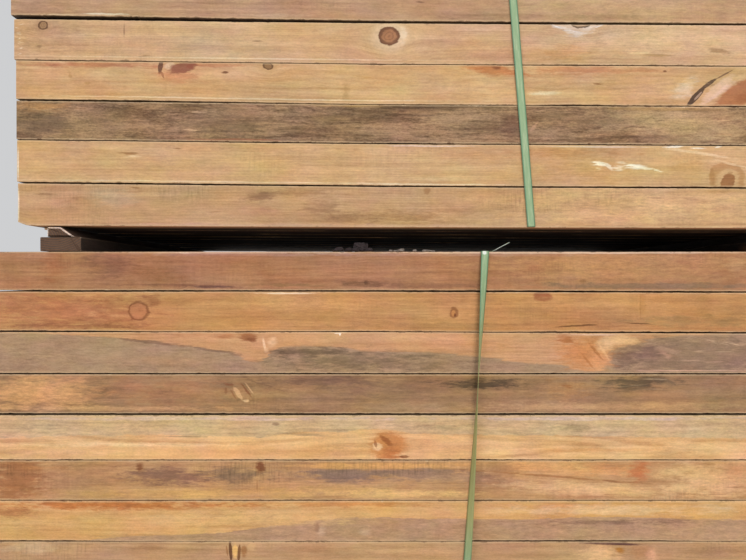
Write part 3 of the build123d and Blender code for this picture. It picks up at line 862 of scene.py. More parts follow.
# The front timbers that the photograph shows, from the top down, with what is seen on each
TIMBERS = {
    "upper_layer_06": {
        "tint": (0.84, 0.86, 0.85),
        "tone": {"light": "CFA684", "dark": "AA8263", "warm": "BC8E6B", "saw": 0.4, "weather": 0.12},
        "marks": (
            ("Wavy", 35, 12, 45, 14, 0.6, "A57F66"), ("Wavy", 330, 8, 120, 14, 0.35, "BE9474"),
            ("Torn", 640, 8, 170, 16, 0.6, "CFAC80"), ("Torn", 480, 19, 60, 5, 0.55, "9C7A5C"),
            ("Torn", 600, 18, 60, 4, 0.4, "A88862"), ("Crisp", 105, 17.2, 26, 1.3, 0.8, "EBDBC4", 0.7),
            ("Crisp", 60, 18, 20, 0.9, 0.5, "D8C0A4", 0.7), ("Crisp", 420, 3, 5, 1, 0.7, "7A5844", 0.8),
            ("Torn", 260, 18, 60, 2.5, 0.5, "D8B292", 0.8))},
    "upper_layer_05": {
        "tint": (0.9, 0.95, 1.02),
        "tone": {"light": "D9B086", "dark": "BE9268", "warm": "CA9C6C", "saw": 0.3, "weather": 0.06},
        "knots": (
            (43, 25, 5.2, 4.6, "A87E54", "583620", "B88C62"),
            (389, 36, 10.5, 9.5, "A46C48", "673B26", "DDB893", 0.95),
            (581, 22, 10, 6, "BC976E", "58402A", "E0C6A6")),
        "marks": (
            ("Wavy", 40, 42, 45, 26, 0.55, "B48963"), ("Wavy", 215, 45, 60, 18, 0.45, "C2A079"),
            ("Wavy", 300, 36, 50, 22, 0.25, "C69868"), ("Torn", 660, 38, 130, 24, 0.55, "DDB98C"),
            ("Wavy", 480, 52, 60, 12, 0.5, "C08C64"), ("Torn", 19.6, 24, 1.6, 1.2, 0.7, "EBD4B6", 0.7, 20),
            ("Torn", 18.4, 28, 1.4, 1, 0.6, "EBD4B6", 0.7, -30),
            ("Torn", 20, 33.5, 1.5, 1.6, 0.5, "E6CDAE", 0.7, 30),
            ("Torn", 17.6, 38, 1.3, 1.1, 0.7, "EBD4B6", 0.7),
            ("Torn", 20.2, 43, 1.2, 1.8, 0.5, "E6CDAE", 0.7),
            ("Torn", 18.6, 48.5, 1.7, 1, 0.6, "EBD4B6", 0.7, 25),
            ("Torn", 19.4, 54.5, 1.6, 1.3, 0.5, "E6CDAE", 0.7),
            ("Torn", 19.3, 26, 1, 1, 0.6, "9C7650", 0.7), ("Torn", 19, 46, 1.1, 1, 0.6, "9C7650", 0.7),
            ("Wavy", 39, 47, 3, 3, 0.6, "8E6A4C", 0.8), ("Crisp", 124, 29, 0.9, 7.5, 0.7, "8A6648", 0.7),
            ("Torn", 262, 41, 8, 1.2, 0.8, "80603F", 0.7), ("Torn", 142, 56.5, 5, 1.2, 0.6, "96704A", 0.7),
            ("Crisp", 403, 35, 4, 9, 0.6, "EBD2B4", 0.9),
            ("Torn", 566, 28, 13, 3.6, 0.75, "EADCCB", 1, -14),
            ("Torn", 592, 27.5, 11, 3, 0.7, "E8D8C6", 1, 18), ("Torn", 577, 33, 12, 3.4, 0.6, "E6D2BE"),
            ("Crisp", 556, 26, 8, 0.8, 0.7, "F0E4D6", 0.7, -20),
            ("Crisp", 599, 26, 8, 0.8, 0.7, "F0E4D6", 0.7, 24),
            ("Crisp", 575, 31, 10, 0.9, 0.6, "F0E4D6", 0.7, -8), ("Wavy", 567, 53, 28, 11, 0.55, "C98F58"),
            ("Torn", 716, 51, 11, 3, 0.65, "9A7248", 0.7, -12),
            ("Torn", 660, 55.5, 15, 1.6, 0.65, "A8824E", 0.7),
            ("Torn", 640, 53, 12, 1.2, 0.5, "E8C894", 0.7), ("Wavy", 600, 44, 10, 6, 0.35, "C0946C"),
            # A pale line along the lower arris: partly worn wood, partly painted highlight where the edge
            # catches the light
            ("Crisp", 250, 58.8, 230, 0.8, 0.5, "EFD3A8", 0.6))},
    "upper_layer_04": {
        "tint": (0.94, 1.04, 1.15),
        "tone": {"light": "D6AA79", "dark": "B98858", "warm": "C6905A", "saw": 0.3, "weather": 0.06},
        "knots": (
            (268, 66, 5.4, 3.8, "946A42", "5E3C24", "BE8E5C"),),
        "marks": (
            ("Torn", 95, 64.5, 85, 4, 0.75, "B26C49"), ("Torn", 215, 64.5, 60, 3.5, 0.6, "B06A44"),
            ("Crisp", 160.5, 66, 2.4, 8, 0.9, "5E3A28", 0.3, -8),
            ("Crisp", 162.5, 75, 1.2, 4, 0.8, "7A4E34", 0.4, 20), ("Wavy", 178, 76, 28, 9, 0.6, "BE7C50"),
            ("Crisp", 170, 66, 6, 4, 0.75, "D2AE88", 0.5, 15),
            ("Wavy", 182, 68, 14, 6, 0.95, "8A543C", 0.4, 14),
            ("Crisp", 192, 66, 6, 3, 0.6, "8A4832", 0.6, 20),
            ("Torn", 226, 72.5, 5, 1.4, 0.9, "74492B", 0.6), ("Wavy", 70, 75, 2, 4, 0.5, "A87A48", 0.8, 10),
            ("Wavy", 87, 84, 4, 2.5, 0.5, "AC8048", 0.8), ("Wavy", 346, 92, 4, 13, 0.5, "A67C4C", 0.9),
            ("Torn", 365, 77, 9, 1.6, 0.5, "B5824E", 0.8, -8),
            ("Wavy", 165, 88, 5, 10, 0.35, "B88858", 0.9, -18),
            ("Torn", 495, 70, 38, 6.5, 0.9, "B9703F", 0.7, -5),
            ("Torn", 497, 68, 6, 1.4, 0.8, "82482A", 0.6, -8),
            ("Torn", 590, 70, 80, 5.5, 0.7, "BC7C4E", 0.9),
            ("Torn", 599, 84.5, 6, 1.4, 0.85, "84562F", 0.6),
            ("Crisp", 665, 71, 2.2, 1.2, 0.85, "764629", 0.6),
            ("Torn", 545, 94, 16, 3, 0.65, "EAD2A8", 0.8), ("Wavy", 660, 90, 60, 15, 0.5, "D8A47C"),
            ("Wavy", 450, 88, 90, 14, 0.35, "D8B17E"), ("Crisp", 717, 90, 22, 5, 0.85, "D8AC88", 0.4, 42),
            ("Wavy", 740, 95, 30, 12, 0.95, "AC6C42", 0.35, 34),
            ("Wavy", 744, 98, 12, 6, 0.5, "985834", 0.8, 20),
            ("Wavy", 684, 90, 16, 9, 0.6, "E2C2A2", 1, 40),
            ("Crisp", 696.2, 96.6, 12, 2.9, 0.95, "4E3627", 0.2, 48),
            ("Crisp", 709, 83.8, 8.6, 1.9, 0.95, "5E4230", 0.25, 35),
            ("Crisp", 725, 74.2, 12, 0.8, 0.85, "7A563C", 0.5, 29),
            ("Crisp", 698, 96.4, 6.5, 1.1, 0.85, "B08C70", 0.4, 48),
            ("Torn", 709.5, 84, 5.5, 0.7, 0.7, "8E6C50", 0.5, 35),
            ("Crisp", 722, 91, 20, 3.2, 0.55, "DEB496", 0.8, 38),
            # A pale line along the lower arris: partly worn wood, partly painted highlight where the edge
            # catches the light
            ("Crisp", 250, 99.5, 220, 0.9, 0.5, "EED3A6", 0.6))},
    "upper_layer_03": {
        "tint": (0.93, 0.8, 0.66),
        "tone": {
            "light": "B39270", "dark": "846A50", "warm": "967759", "figure": 0.15, "saw": 0.6,
            "weather": 0.8, "grey": "A38E76", "mould": "574638", "arris": 0.9, "wear": 2.2},
        "marks": (
            ("Torn", 42, 106.5, 36, 6, 0.8, "B28E68", 0.8), ("Torn", 45, 124, 36, 12, 0.7, "6B5A4D", 0.8),
            ("Torn", 110, 118, 40, 9, 0.4, "8E775C", 0.9), ("Wavy", 225, 120, 46, 16, 0.5, "8D7968"),
            ("Torn", 198, 112.5, 5, 1.4, 0.7, "CBB397", 0.7),
            ("Torn", 192, 130.5, 5, 1.4, 0.7, "CBB397", 0.7),
            ("Torn", 245, 128, 28, 7, 0.55, "5A4E40", 0.9), ("Torn", 372, 114, 44, 10, 0.45, "6A5A44", 0.9),
            ("Torn", 440, 107, 70, 4, 0.6, "4F402C", 0.9), ("Torn", 420, 112, 26, 3, 0.6, "A88E6E", 0.9),
            ("Torn", 330, 118, 30, 4, 0.5, "A08868", 0.9), ("Torn", 560, 116, 26, 4, 0.5, "A48C70", 0.9),
            ("Torn", 615, 132, 30, 4, 0.5, "A08A70", 0.9), ("Torn", 480, 128, 34, 7, 0.5, "684F42", 0.9),
            ("Wavy", 512, 125, 12, 16, 0.55, "65493E", 0.9),
            ("Crisp", 534, 127, 6.5, 1.6, 0.7, "BE9E88", 0.7, 52),
            ("Wavy", 680, 122, 90, 22, 0.9, "BCA888", 0.9),
            ("Crisp", 700, 106.6, 16, 1.1, 0.8, "DCC0A0", 0.6),
            ("Torn", 655, 138, 30, 4, 0.5, "7E6C5E", 0.9), ("Torn", 690, 110, 44, 2.4, 0.6, "7A6A4C", 0.9),
            ("Torn", 722, 121, 16, 1.2, 0.5, "D0BC98", 0.8),
            ("Torn", 230, 140.5, 64, 1.6, 0.7, "A0705A", 0.7),
            ("Torn", 350, 104.5, 46, 2.6, 0.6, "BA9C6A", 0.8),
            ("Torn", 660, 108, 66, 3, 0.55, "B49868", 0.8), ("Torn", 300, 102, 40, 1.1, 0.8, "4A3A28", 0.7),
            ("Torn", 600, 105, 30, 1.1, 0.8, "4A3A28", 0.7), ("Torn", 600, 121, 50, 4, 0.45, "7A6650", 0.9),
            ("Torn", 300, 130, 30, 5, 0.4, "7C6A52", 0.9))},
    "upper_layer_02": {
        "tint": (0.9, 0.97, 0.98),
        "tone": {"light": "D9AE80", "dark": "BE9062", "warm": "CA9A68", "saw": 0.55, "weather": 0.05},
        "marks": (
            ("Crisp", 18, 164, 0.9, 18, 0.75, "ECD9BE", 0.5),
            ("Torn", 250, 149, 110, 3.2, 0.5, "BC8E66", 0.9), ("Torn", 85, 150, 24, 7, 0.5, "BE9464"),
            ("Wavy", 165, 161, 20, 12, 0.4, "C29670"), ("Torn", 128, 153.8, 9, 1.3, 0.85, "93683F", 0.6),
            ("Torn", 131, 157, 9, 1.6, 0.6, "E4C49E", 0.8), ("Torn", 183, 149, 5, 1.2, 0.65, "93683F", 0.7),
            ("Torn", 460, 155, 46, 7, 0.5, "BE8C5E"), ("Torn", 570, 153, 70, 6, 0.6, "BA8250"),
            ("Wavy", 585, 171, 70, 14, 0.45, "C6925A"), ("Wavy", 690, 168, 20, 18, 0.3, "C6925A"),
            ("Torn", 601.5, 164.6, 10, 2.2, 0.95, "F8E6CC", 0.8, -12),
            ("Crisp", 609, 167.2, 5, 2.2, 0.8, "F4DFC2", 0.6, -38),
            ("Torn", 618, 168.4, 6, 2.6, 0.7, "F0DABC", 0.8, 10),
            ("Torn", 636, 167.2, 11, 2.6, 0.95, "F8E6CC", 0.7, -4),
            ("Crisp", 648, 169.4, 7, 1.4, 0.8, "F2DCC0", 0.6),
            ("Torn", 657, 170.6, 5, 1.8, 0.8, "F2DEC0", 0.8, -20),
            ("Torn", 597, 169, 6, 1.2, 0.5, "E8D2AC", 0.9, 20),
            ("Torn", 626, 163.5, 8, 1.2, 0.5, "ECD6B2", 0.9, -10),
            ("Crisp", 727, 179, 16.5, 16, 0.65, "B07E4C", 0.12, -10),
            ("Crisp", 712.5, 177, 2.6, 9, 0.5, "A87444", 0.6, 4),
            ("Crisp", 728, 181, 11.6, 12.2, 0.85, "D2A676", 0.35, -10),
            ("Crisp", 728, 183.5, 6.4, 10, 0.95, "9E683E", 0.25, -18),
            ("Torn", 700, 153, 42, 2, 0.65, "EBC9A0", 0.7, -8),
            ("Torn", 735, 165, 20, 1.6, 0.6, "E8C69A", 0.7, -14),
            # Next two: pale lines along the top arris, partly worn wood, partly painted highlight
            ("Crisp", 430, 145.8, 45, 0.9, 0.7, "ECD2BC", 0.6),
            ("Crisp", 600, 146.8, 60, 0.7, 0.7, "ECD4BE", 0.6),
            ("Crisp", 675, 146.4, 12, 1.3, 0.95, "F6E8DA", 0.6, 4),
            ("Crisp", 697, 148, 9, 0.9, 0.85, "EFDCC8", 0.6),
            ("Crisp", 719, 146.4, 5, 1.1, 0.9, "F2E0CC", 0.6, 18),
            # Next two: pale lines along the lower arris, partly worn wood, partly painted highlight
            ("Crisp", 230, 183, 200, 0.8, 0.5, "F0D6AE", 0.6),
            ("Crisp", 430, 185.5, 80, 0.9, 0.6, "F0D8B4", 0.6),
            ("Torn", 440, 180, 40, 3, 0.4, "E2C090", 0.9))},
    "upper_layer_01": {
        "tint": (0.93, 0.98, 0.97),
        "tone": {
            "fresh_and_lit": 1, "light": "CFA47C", "dark": "AD8159", "warm": "BA8B62", "saw": 1, "weather": 0.1},
        "marks": (
            ("Crisp", 18.6, 206, 0.9, 19, 0.8, "ECD9BE", 0.5), ("Wavy", 115, 197, 28, 11, 0.6, "B59A7A"),
            ("Torn", 48, 194.5, 11, 1.7, 0.7, "8F6B4B", 0.7), ("Torn", 78, 202, 14, 9, 0.5, "B3825A"),
            ("Torn", 132, 188, 6, 1.2, 0.65, "866040", 0.7), ("Wavy", 262, 197, 19, 8, 0.8, "8F644A"),
            ("Wavy", 302, 192, 28, 6, 0.6, "9C6E50"), ("Wavy", 322, 208, 20, 12, 0.55, "94684A"),
            ("Wavy", 345, 219, 24, 8, 0.55, "8C6448"), ("Wavy", 262, 213, 20, 7, 0.45, "B27C60"),
            ("Torn", 215, 212, 5, 1.2, 0.65, "966A44", 0.7), ("Wavy", 85, 216, 66, 9, 0.4, "CDA070"),
            ("Wavy", 640, 206, 160, 26, 0.85, "D8AD7E"), ("Wavy", 480, 200, 60, 20, 0.45, "CBA072"),
            ("Crisp", 427, 190.5, 3.2, 4.5, 0.7, "9C6C48", 0.8),
            ("Torn", 412, 217, 50, 7.5, 0.65, "9F724D"), ("Torn", 455, 211, 24, 4, 0.5, "A87A54"),
            ("Torn", 600, 205, 34, 9, 0.4, "BE9166"), ("Torn", 722, 190, 28, 4, 0.5, "B48556"),
            # A pale line along the lower arris: partly worn wood, partly painted highlight where the edge
            # catches the light
            ("Torn", 300, 225.3, 270, 1.8, 0.5, "CC9E88", 0.7),
            ("Wavy", 190, 205, 60, 14, 0.25, "C89A74"))},
    "lower_layer_10": {
        "tint": (0.87, 0.79, 0.69),
        "tone": {"light": "BE8E6A", "dark": "98694B", "warm": "A87453", "saw": 0.8, "weather": 0.15},
        "marks": (
            ("Wavy", 108, 265, 32, 19, 0.7, "8C6350"), ("Wavy", 55, 266, 16, 20, 0.4, "A5613F"),
            ("Wavy", 10, 262, 30, 12, 0.3, "B0805E"), ("Wavy", 150, 276, 34, 10, 0.45, "A06C46"),
            ("Torn", 212, 288, 26, 1.8, 0.8, "654540", 0.8),
            ("Torn", 180, 286, 70, 1.6, 0.6, "865A49", 0.8),
            ("Torn", 290, 286, 44, 2.2, 0.6, "86704E", 0.8),
            ("Torn", 365, 285, 30, 3.6, 0.65, "704E3A", 0.9), ("Crisp", 366, 284, 3, 3, 0.6, "4A3022", 0.8),
            ("Wavy", 610, 266, 170, 24, 0.8, "C4986F"), ("Torn", 650, 286.8, 120, 3.6, 0.85, "8E7460", 0.7),
            ("Torn", 430, 287, 60, 3, 0.6, "886250", 0.8),
            # Next two: the pale line along the head's front arris, partly worn wood, partly painted highlight
            ("Torn", 450, 254.5, 170, 2.2, 0.55, "BC9A8A", 0.8),
            ("Torn", 250, 254.5, 130, 1.8, 0.5, "BC9A90", 0.8), ("Wavy", 535, 269, 12, 5, 0.5, "A46C54"),
            ("Wavy", 583, 281.6, 4, 1.8, 0.5, "7A5438"), ("Crisp", 183, 252.6, 6, 0.9, 0.9, "F0E2CE", 0.6),
            ("Wavy", 240, 262, 60, 12, 0.3, "B48260"), ("Wavy", 265, 272, 12, 9, 0.35, "98644A"),
            # Next two: the same pale arris line, painted highlight over worn wood
            ("Crisp", 560, 252.6, 190, 1, 0.85, "E6CFC0", 0.5),
            ("Crisp", 240, 252.6, 130, 0.9, 0.65, "DEC6B8", 0.6),
            ("Wavy", 735, 266, 12, 16, 0.35, "D0A888"))},
    "lower_layer_09": {
        "tint": (1.0, 0.95, 0.93),
        "tone": {"light": "C79864", "dark": "A8784A", "warm": "B8824E", "saw": 0.5, "weather": 0.06},
        "marks": (
            ("Wavy", 60, 311, 100, 24, 0.75, "A66C49"), ("Wavy", 118, 312, 34, 18, 0.4, "99633F"),
            ("Torn", 70, 327, 90, 3, 0.6, "8A593D", 0.9), ("Wavy", 20, 300, 30, 10, 0.35, "B87C58"),
            ("Wavy", 139, 311, 10.5, 10, 0.75, "744528", 0.22),
            ("Wavy", 138.5, 311, 8.2, 7.8, 0.95, "B27C53", 0.25),
            ("Wavy", 140, 310, 4, 3.2, 0.55, "96603C"), ("Wavy", 153, 301, 11, 9, 0.55, "915E3C"),
            ("Crisp", 454, 313, 4.6, 6, 0.75, "80502E", 0.4),
            ("Crisp", 453.5, 313, 2.4, 3.4, 0.75, "C08850", 0.5),
            ("Crisp", 455, 315, 1.2, 1.8, 0.8, "693A20", 0.5),
            ("Wavy", 543, 296, 10, 6.5, 0.85, "905437", 0.5),
            ("Crisp", 572, 327, 20, 0.9, 0.85, "684628", 0.5, 3),
            ("Crisp", 590, 325.8, 8, 0.8, 0.8, "684628", 0.5),
            ("Crisp", 640, 324.5, 14, 0.9, 0.85, "684628", 0.5, -3),
            ("Torn", 690, 322, 66, 7, 0.6, "9C8256"), ("Torn", 430, 326, 120, 4, 0.45, "9C7850", 0.9),
            ("Wavy", 643, 303, 4, 15, 0.5, "A8743E", 0.9),
            ("Crisp", 640.3, 306, 0.9, 15, 0.5, "98682F", 0.7),
            ("Wavy", 705, 305, 9, 20, 0.4, "A47C48", 0.9), ("Wavy", 740, 310, 12, 14, 0.45, "A4764E"),
            ("Torn", 300, 305, 100, 12, 0.45, "D0A16A"), ("Torn", 600, 304, 100, 8, 0.35, "D0A26E"),
            # First mark below: a pale line along the top arris, partly worn wood, partly painted highlight
            ("Crisp", 290, 293.2, 34, 0.9, 0.85, "EEDAB8", 0.7), ("Wavy", 500, 310, 30, 18, 0.3, "B88452"),
            ("Wavy", 240, 320, 50, 8, 0.25, "B07E50"))},
    "lower_layer_08": {
        "tint": (0.97, 0.85, 0.8),
        "tone": {"light": "D8B085", "dark": "B88C61", "warm": "C69A6C", "saw": 0.3, "weather": 0.1},
        "stains": (("Torn", (
            (-15, 331), (60, 333), (110, 337), (150, 341.5), (200, 347.5), (240, 355), (262, 361),
            (272, 352), (285, 346), (320, 345.5), (373, 351), (430, 352), (470, 355), (520, 361.5),
            (560, 366), (600, 371), (608, 352), (640, 342), (670, 336), (700, 332), (760, 331)), 5, 0.92,
            "A38E74"),),
        "marks": (
            ("Torn", 350, 361, 90, 13, 0.75, "7C6E58"), ("Torn", 310, 352, 48, 6, 0.65, "685746", 0.9),
            ("Torn", 150, 342, 46, 1.8, 0.75, "746050", 0.7, -6),
            ("Torn", 215, 351, 34, 1.8, 0.7, "746050", 0.7, -9), ("Torn", 420, 366, 64, 8, 0.6, "826D58"),
            ("Wavy", 60, 356, 80, 18, 0.35, "AD9275"), ("Torn", 690, 356, 84, 22, 0.8, "8A7662", 0.6),
            ("Torn", 625, 360, 20, 10, 0.6, "745F50", 0.8),
            ("Torn", 650, 352, 26, 7, 0.5, "77625A", 0.8, 14),
            ("Torn", 666, 354, 9, 3.4, 0.6, "BC9C86", 0.8, -30),
            # Next two: pale lines along the top and lower arrises, partly worn wood, partly painted highlight
            ("Crisp", 596, 334.7, 30, 1, 0.75, "E8CDB8", 0.6),
            ("Torn", 690, 371.6, 60, 1, 0.75, "D6B49E", 0.7),
            ("Torn", 715, 342, 12, 0.9, 0.7, "C4AE92", 0.7, -18),
            ("Torn", 733, 344, 8, 0.9, 0.7, "C4AE92", 0.7, -14),
            ("Torn", 700, 352, 9, 1.6, 0.6, "BEA68A", 0.9), ("Torn", 690, 361, 12, 1.4, 0.6, "BCA088", 0.9),
            ("Torn", 712, 363, 12, 1, 0.6, "BCA088", 0.9), ("Torn", 722, 352, 8, 1.2, 0.5, "B4A084", 0.9),
            ("Torn", 668, 350, 16, 3, 0.6, "AC957F", 0.8, -20),
            ("Torn", 722, 340, 34, 5, 0.5, "8E7A66", 0.9),
            ("Wavy", 247, 336, 12, 6, 0.85, "96613C", 0.6, -6),
            ("Crisp", 252, 340.5, 6, 2.6, 0.6, "7E4A2C", 0.8, -20),
            ("Wavy", 225, 335.5, 14, 3.4, 0.6, "B4774B", 0.9),
            ("Crisp", 264, 344, 1.5, 8, 0.8, "E6CDAA", 0.6, 10),
            ("Crisp", 266, 350, 3, 3, 0.5, "E2C6A0", 0.8), ("Crisp", 272, 342, 6, 6, 0.6, "E6CCA8", 0.9),
            ("Wavy", 584, 352, 33, 20, 0.9, "C28D5B", 0.8), ("Wavy", 600, 361, 14, 13, 0.7, "D6A474", 0.8),
            ("Torn", 570, 340, 16, 4, 0.7, "A36A39", 0.8, -28),
            ("Crisp", 596, 352, 13, 1.6, 0.6, "A06B3A", 0.7, -52),
            ("Crisp", 588, 362, 13, 1.3, 0.6, "AA7442", 0.7, -52),
            ("Crisp", 604, 352, 13, 1.4, 0.5, "E6C090", 0.7, -60),
            ("Wavy", 620, 340, 20, 6.5, 0.92, "E0BE92", 0.6), ("Wavy", 605, 346, 10, 7, 0.6, "E4C69C", 0.8),
            ("Torn", 420, 338, 120, 5, 0.35, "DEB88C"), ("Torn", 480, 345, 30, 4, 0.35, "C0925E", 0.9),
            ("Crisp", 340, 334, 1.2, 2, 0.9, "FFF6EA", 0.6),
            ("Crisp", 337, 333.2, 3, 0.7, 0.8, "FBEFDF", 0.6), ("Torn", 160, 362, 60, 5, 0.4, "B89878"))},
    "lower_layer_07": {
        "tint": (1.14, 1.08, 1.02),
        "tone": {
            "light": "AE8962", "dark": "836449", "warm": "946F4D", "figure": 0.25, "saw": 0.7,
            "weather": 0.35, "grey": "8C745D", "mould": "594839"},
        "marks": (
            ("Wavy", 42, 394, 70, 24, 0.95, "C2956A"), ("Wavy", 180, 395, 80, 20, 0.55, "A37451"),
            ("Wavy", 168, 399, 24, 12, 0.5, "906650"), ("Torn", 320, 381, 66, 8, 0.7, "6A5144"),
            ("Wavy", 325, 398, 54, 12, 0.4, "886A55"), ("Torn", 485, 384, 50, 6.5, 0.85, "45382D", 0.9),
            ("Torn", 640, 382, 48, 7.5, 0.8, "4E4236", 0.9),
            ("Torn", 652, 379.5, 16, 0.9, 0.7, "9A866E", 0.8),
            ("Torn", 628, 386.5, 14, 0.9, 0.7, "A08A70", 0.8, 6),
            ("Torn", 648, 390, 18, 0.9, 0.6, "A48E74", 0.8), ("Torn", 636, 389, 34, 5, 0.6, "55463A", 0.9),
            ("Wavy", 568, 390, 26, 14, 0.8, "A67D53"), ("Wavy", 566, 386, 8, 3, 0.6, "966038", 1, -20),
            ("Torn", 600, 408, 170, 5.5, 0.7, "B8966D"), ("Torn", 420, 408, 66, 5, 0.6, "AB8C6C"),
            ("Torn", 120, 410, 150, 3.2, 0.6, "C59B72"), ("Torn", 390, 390, 56, 12, 0.5, "785E4B"),
            ("Torn", 722, 392, 44, 14, 0.5, "8C735B"),
            ("Wavy", 229, 385, 6.5, 1.9, 0.85, "7C5138", 0.6, -14),
            ("Crisp", 226, 391, 1.4, 5, 0.7, "845A40", 0.6),
            ("Wavy", 242, 393, 12, 6, 0.5, "A47C5C", 0.6, -52),
            ("Crisp", 238, 394, 9.5, 2.4, 0.8, "C8A07C", 0.5, -58),
            ("Crisp", 246.5, 391, 9.5, 1.3, 0.9, "7E5238", 0.6, -54),
            ("Crisp", 249.5, 389, 8, 1, 0.7, "C8A07C", 0.6, -54),
            ("Crisp", 233.5, 395.5, 7, 1, 0.7, "85593E", 0.6, -60),
            ("Crisp", 246, 402, 3.4, 1.6, 0.7, "E2BC98", 0.6),
            ("Torn", 262, 384, 26, 1.4, 0.5, "6A4C3C", 0.7, -24))},
    "lower_layer_06": {
        "tint": (1.08, 1.07, 1.11),
        "tone": {
            "light": "DFB782", "dark": "C39562", "warm": "D2A067", "saw": 0.25, "figure": 0.4,
            "weather": 0.03},
        "stains": (("Wavy", (
            (-15, 440), (100, 437), (160, 436.5), (260, 438), (300, 433), (340, 433), (373, 430),
            (420, 435), (560, 437), (746, 440)), -5, 0.8, "BDA27B"),),
        "marks": (
            # Next two: pale lines along the top arris, partly worn wood, partly painted highlight
            ("Torn", 200, 418.5, 200, 2.2, 0.65, "CCB09E", 0.8),
            ("Torn", 600, 418.5, 160, 2.2, 0.65, "CCB4A4", 0.8),
            ("Crisp", 276, 424, 4.2, 1.9, 0.95, "67442A", 0.6), ("Wavy", 276, 424, 10, 4, 0.5, "C4A680"),
            ("Torn", 306, 434.5, 24, 2.4, 0.7, "9A7F5C", 0.8, -4),
            ("Torn", 302, 430, 34, 2.4, 0.5, "AC8D66", 0.9),
            ("Torn", 190, 436.8, 28, 1.1, 0.75, "988058", 0.7), ("Torn", 50, 453, 66, 4.5, 0.6, "D6A67C"),
            ("Wavy", 388, 447, 21, 15, 0.92, "BE8149", 0.5),
            ("Wavy", 393, 453, 13, 7.5, 0.7, "AE6937", 0.8),
            ("Wavy", 377, 447, 5.5, 4.5, 0.85, "E6BE90", 0.6),
            ("Crisp", 386, 441, 8, 2.8, 0.8, "8A5027", 0.6, -38),
            ("Crisp", 404, 457, 5, 1.6, 0.8, "744222", 0.6),
            ("Crisp", 375.5, 444, 1.6, 5, 0.7, "92562C", 0.6, 10),
            ("Torn", 345, 450, 34, 5, 0.55, "D8A56A"), ("Torn", 440, 450, 44, 8, 0.45, "DEB078"),
            ("Torn", 435, 427, 34, 3, 0.55, "9C8862", 0.9), ("Torn", 575, 428, 26, 3, 0.65, "96825C", 0.9),
            ("Wavy", 700, 448, 70, 9, 0.45, "E2BE8C"), ("Wavy", 120, 428, 90, 8, 0.3, "C4A682"),
            ("Wavy", 450, 423, 34, 5, 0.4, "BE946C"), ("Torn", 600, 450, 80, 2.4, 0.45, "CE9458", 0.9),
            ("Torn", 140, 445, 130, 2.4, 0.5, "EACB98", 0.9))},
    "lower_layer_05": {
        "tint": (1.07, 1.13, 1.08),
        "tone": {
            "light": "CA9A6D", "dark": "A27048", "warm": "AE7C52", "saw": 1.6, "weather": 0.18,
            "grey": "A08468"},
        "marks": (
            ("Wavy", 18, 480, 34, 28, 0.9, "98623E", 0.7), ("Wavy", 82, 478, 46, 18, 0.6, "9E7552"),
            ("Torn", 170, 477, 50, 12, 0.9, "80594A", 0.9, -4),
            ("Torn", 236, 476, 34, 10, 0.8, "7E6050", 0.9), ("Torn", 345, 474, 60, 10, 0.85, "80655A", 0.9),
            ("Torn", 418, 472, 62, 9, 0.85, "84685A", 0.9), ("Torn", 290, 478, 30, 7, 0.5, "94705A"),
            ("Wavy", 140, 466, 5.5, 6, 0.85, "784528", 0.8), ("Wavy", 260, 467, 5.5, 7, 0.9, "743F25", 0.7),
            ("Crisp", 257, 485, 1.2, 13, 0.55, "9C6A44", 0.8),
            ("Torn", 378, 466, 100, 4, 0.85, "D09860", 0.7), ("Torn", 200, 494, 170, 6, 0.7, "C8975F"),
            ("Torn", 400, 494, 90, 5, 0.8, "DAAB74"), ("Torn", 335, 490, 54, 6, 0.55, "CE9E66"),
            ("Torn", 560, 468, 100, 8, 0.8, "D49C69", 0.8, -4),
            ("Torn", 450, 478, 76, 8, 0.75, "9D785F", 0.9, -2),
            ("Wavy", 502, 470, 24, 20, 0.6, "9A6C4D", 0.9),
            ("Torn", 590, 489, 110, 8, 0.75, "D8AE7F", 1, -2),
            ("Torn", 560, 477, 110, 1.4, 0.8, "94653F", 0.7, -4.3),
            ("Wavy", 640, 472, 12, 13, 0.85, "B1673F", 0.9), ("Wavy", 600, 468, 34, 9, 0.45, "BE7A4F"),
            ("Wavy", 708, 482, 56, 22, 0.75, "DCAF82"), ("Wavy", 737, 472, 16, 9, 0.5, "B67650"),
            ("Torn", 660, 482, 24, 3, 0.6, "A47550", 0.9), ("Torn", 40, 468, 30, 2, 0.4, "B87C50", 0.9))},
    "lower_layer_04": {
        "tint": (0.97, 1.05, 1.21),
        "tone": {"light": "DCAA6D", "dark": "C08A4E", "warm": "CC9452", "saw": 0.2, "weather": 0},
        "stains": (("Torn", (
            (-15, 552), (60, 544), (95, 540), (135, 536.5), (180, 535), (230, 531), (280, 524.5),
            (330, 518.5), (373, 517), (450, 518.5), (520, 519), (600, 517.5), (680, 518.5), (746, 520)),
            2.5, 0.92, "AF8763"),),
        "marks": (
            ("Torn", 105, 505, 160, 6, 0.95, "B96F34"), ("Torn", 330, 504, 130, 4, 0.65, "C57E40"),
            ("Wavy", 12, 512, 30, 9, 0.7, "AC6B3E"), ("Torn", 560, 506, 80, 4, 0.6, "CE8850"),
            ("Torn", 250, 519, 130, 10, 0.6, "E0B172"), ("Torn", 610, 510, 130, 7, 0.6, "E6BC8A"),
            ("Wavy", 128, 508, 6, 3.4, 0.65, "A26130", 0.9),
            ("Torn", 600, 523, 56, 3.4, 0.7, "86624A", 0.9), ("Torn", 665, 522, 28, 5, 0.7, "86624A", 0.9),
            ("Wavy", 321, 532, 6, 6.5, 0.6, "CCA682", 0.8), ("Wavy", 317, 527, 3.4, 7, 0.6, "8E6448", 0.8),
            ("Wavy", 365, 533, 7, 5, 0.5, "CCA682", 0.9), ("Torn", 150, 537, 66, 3, 0.5, "AC885F"),
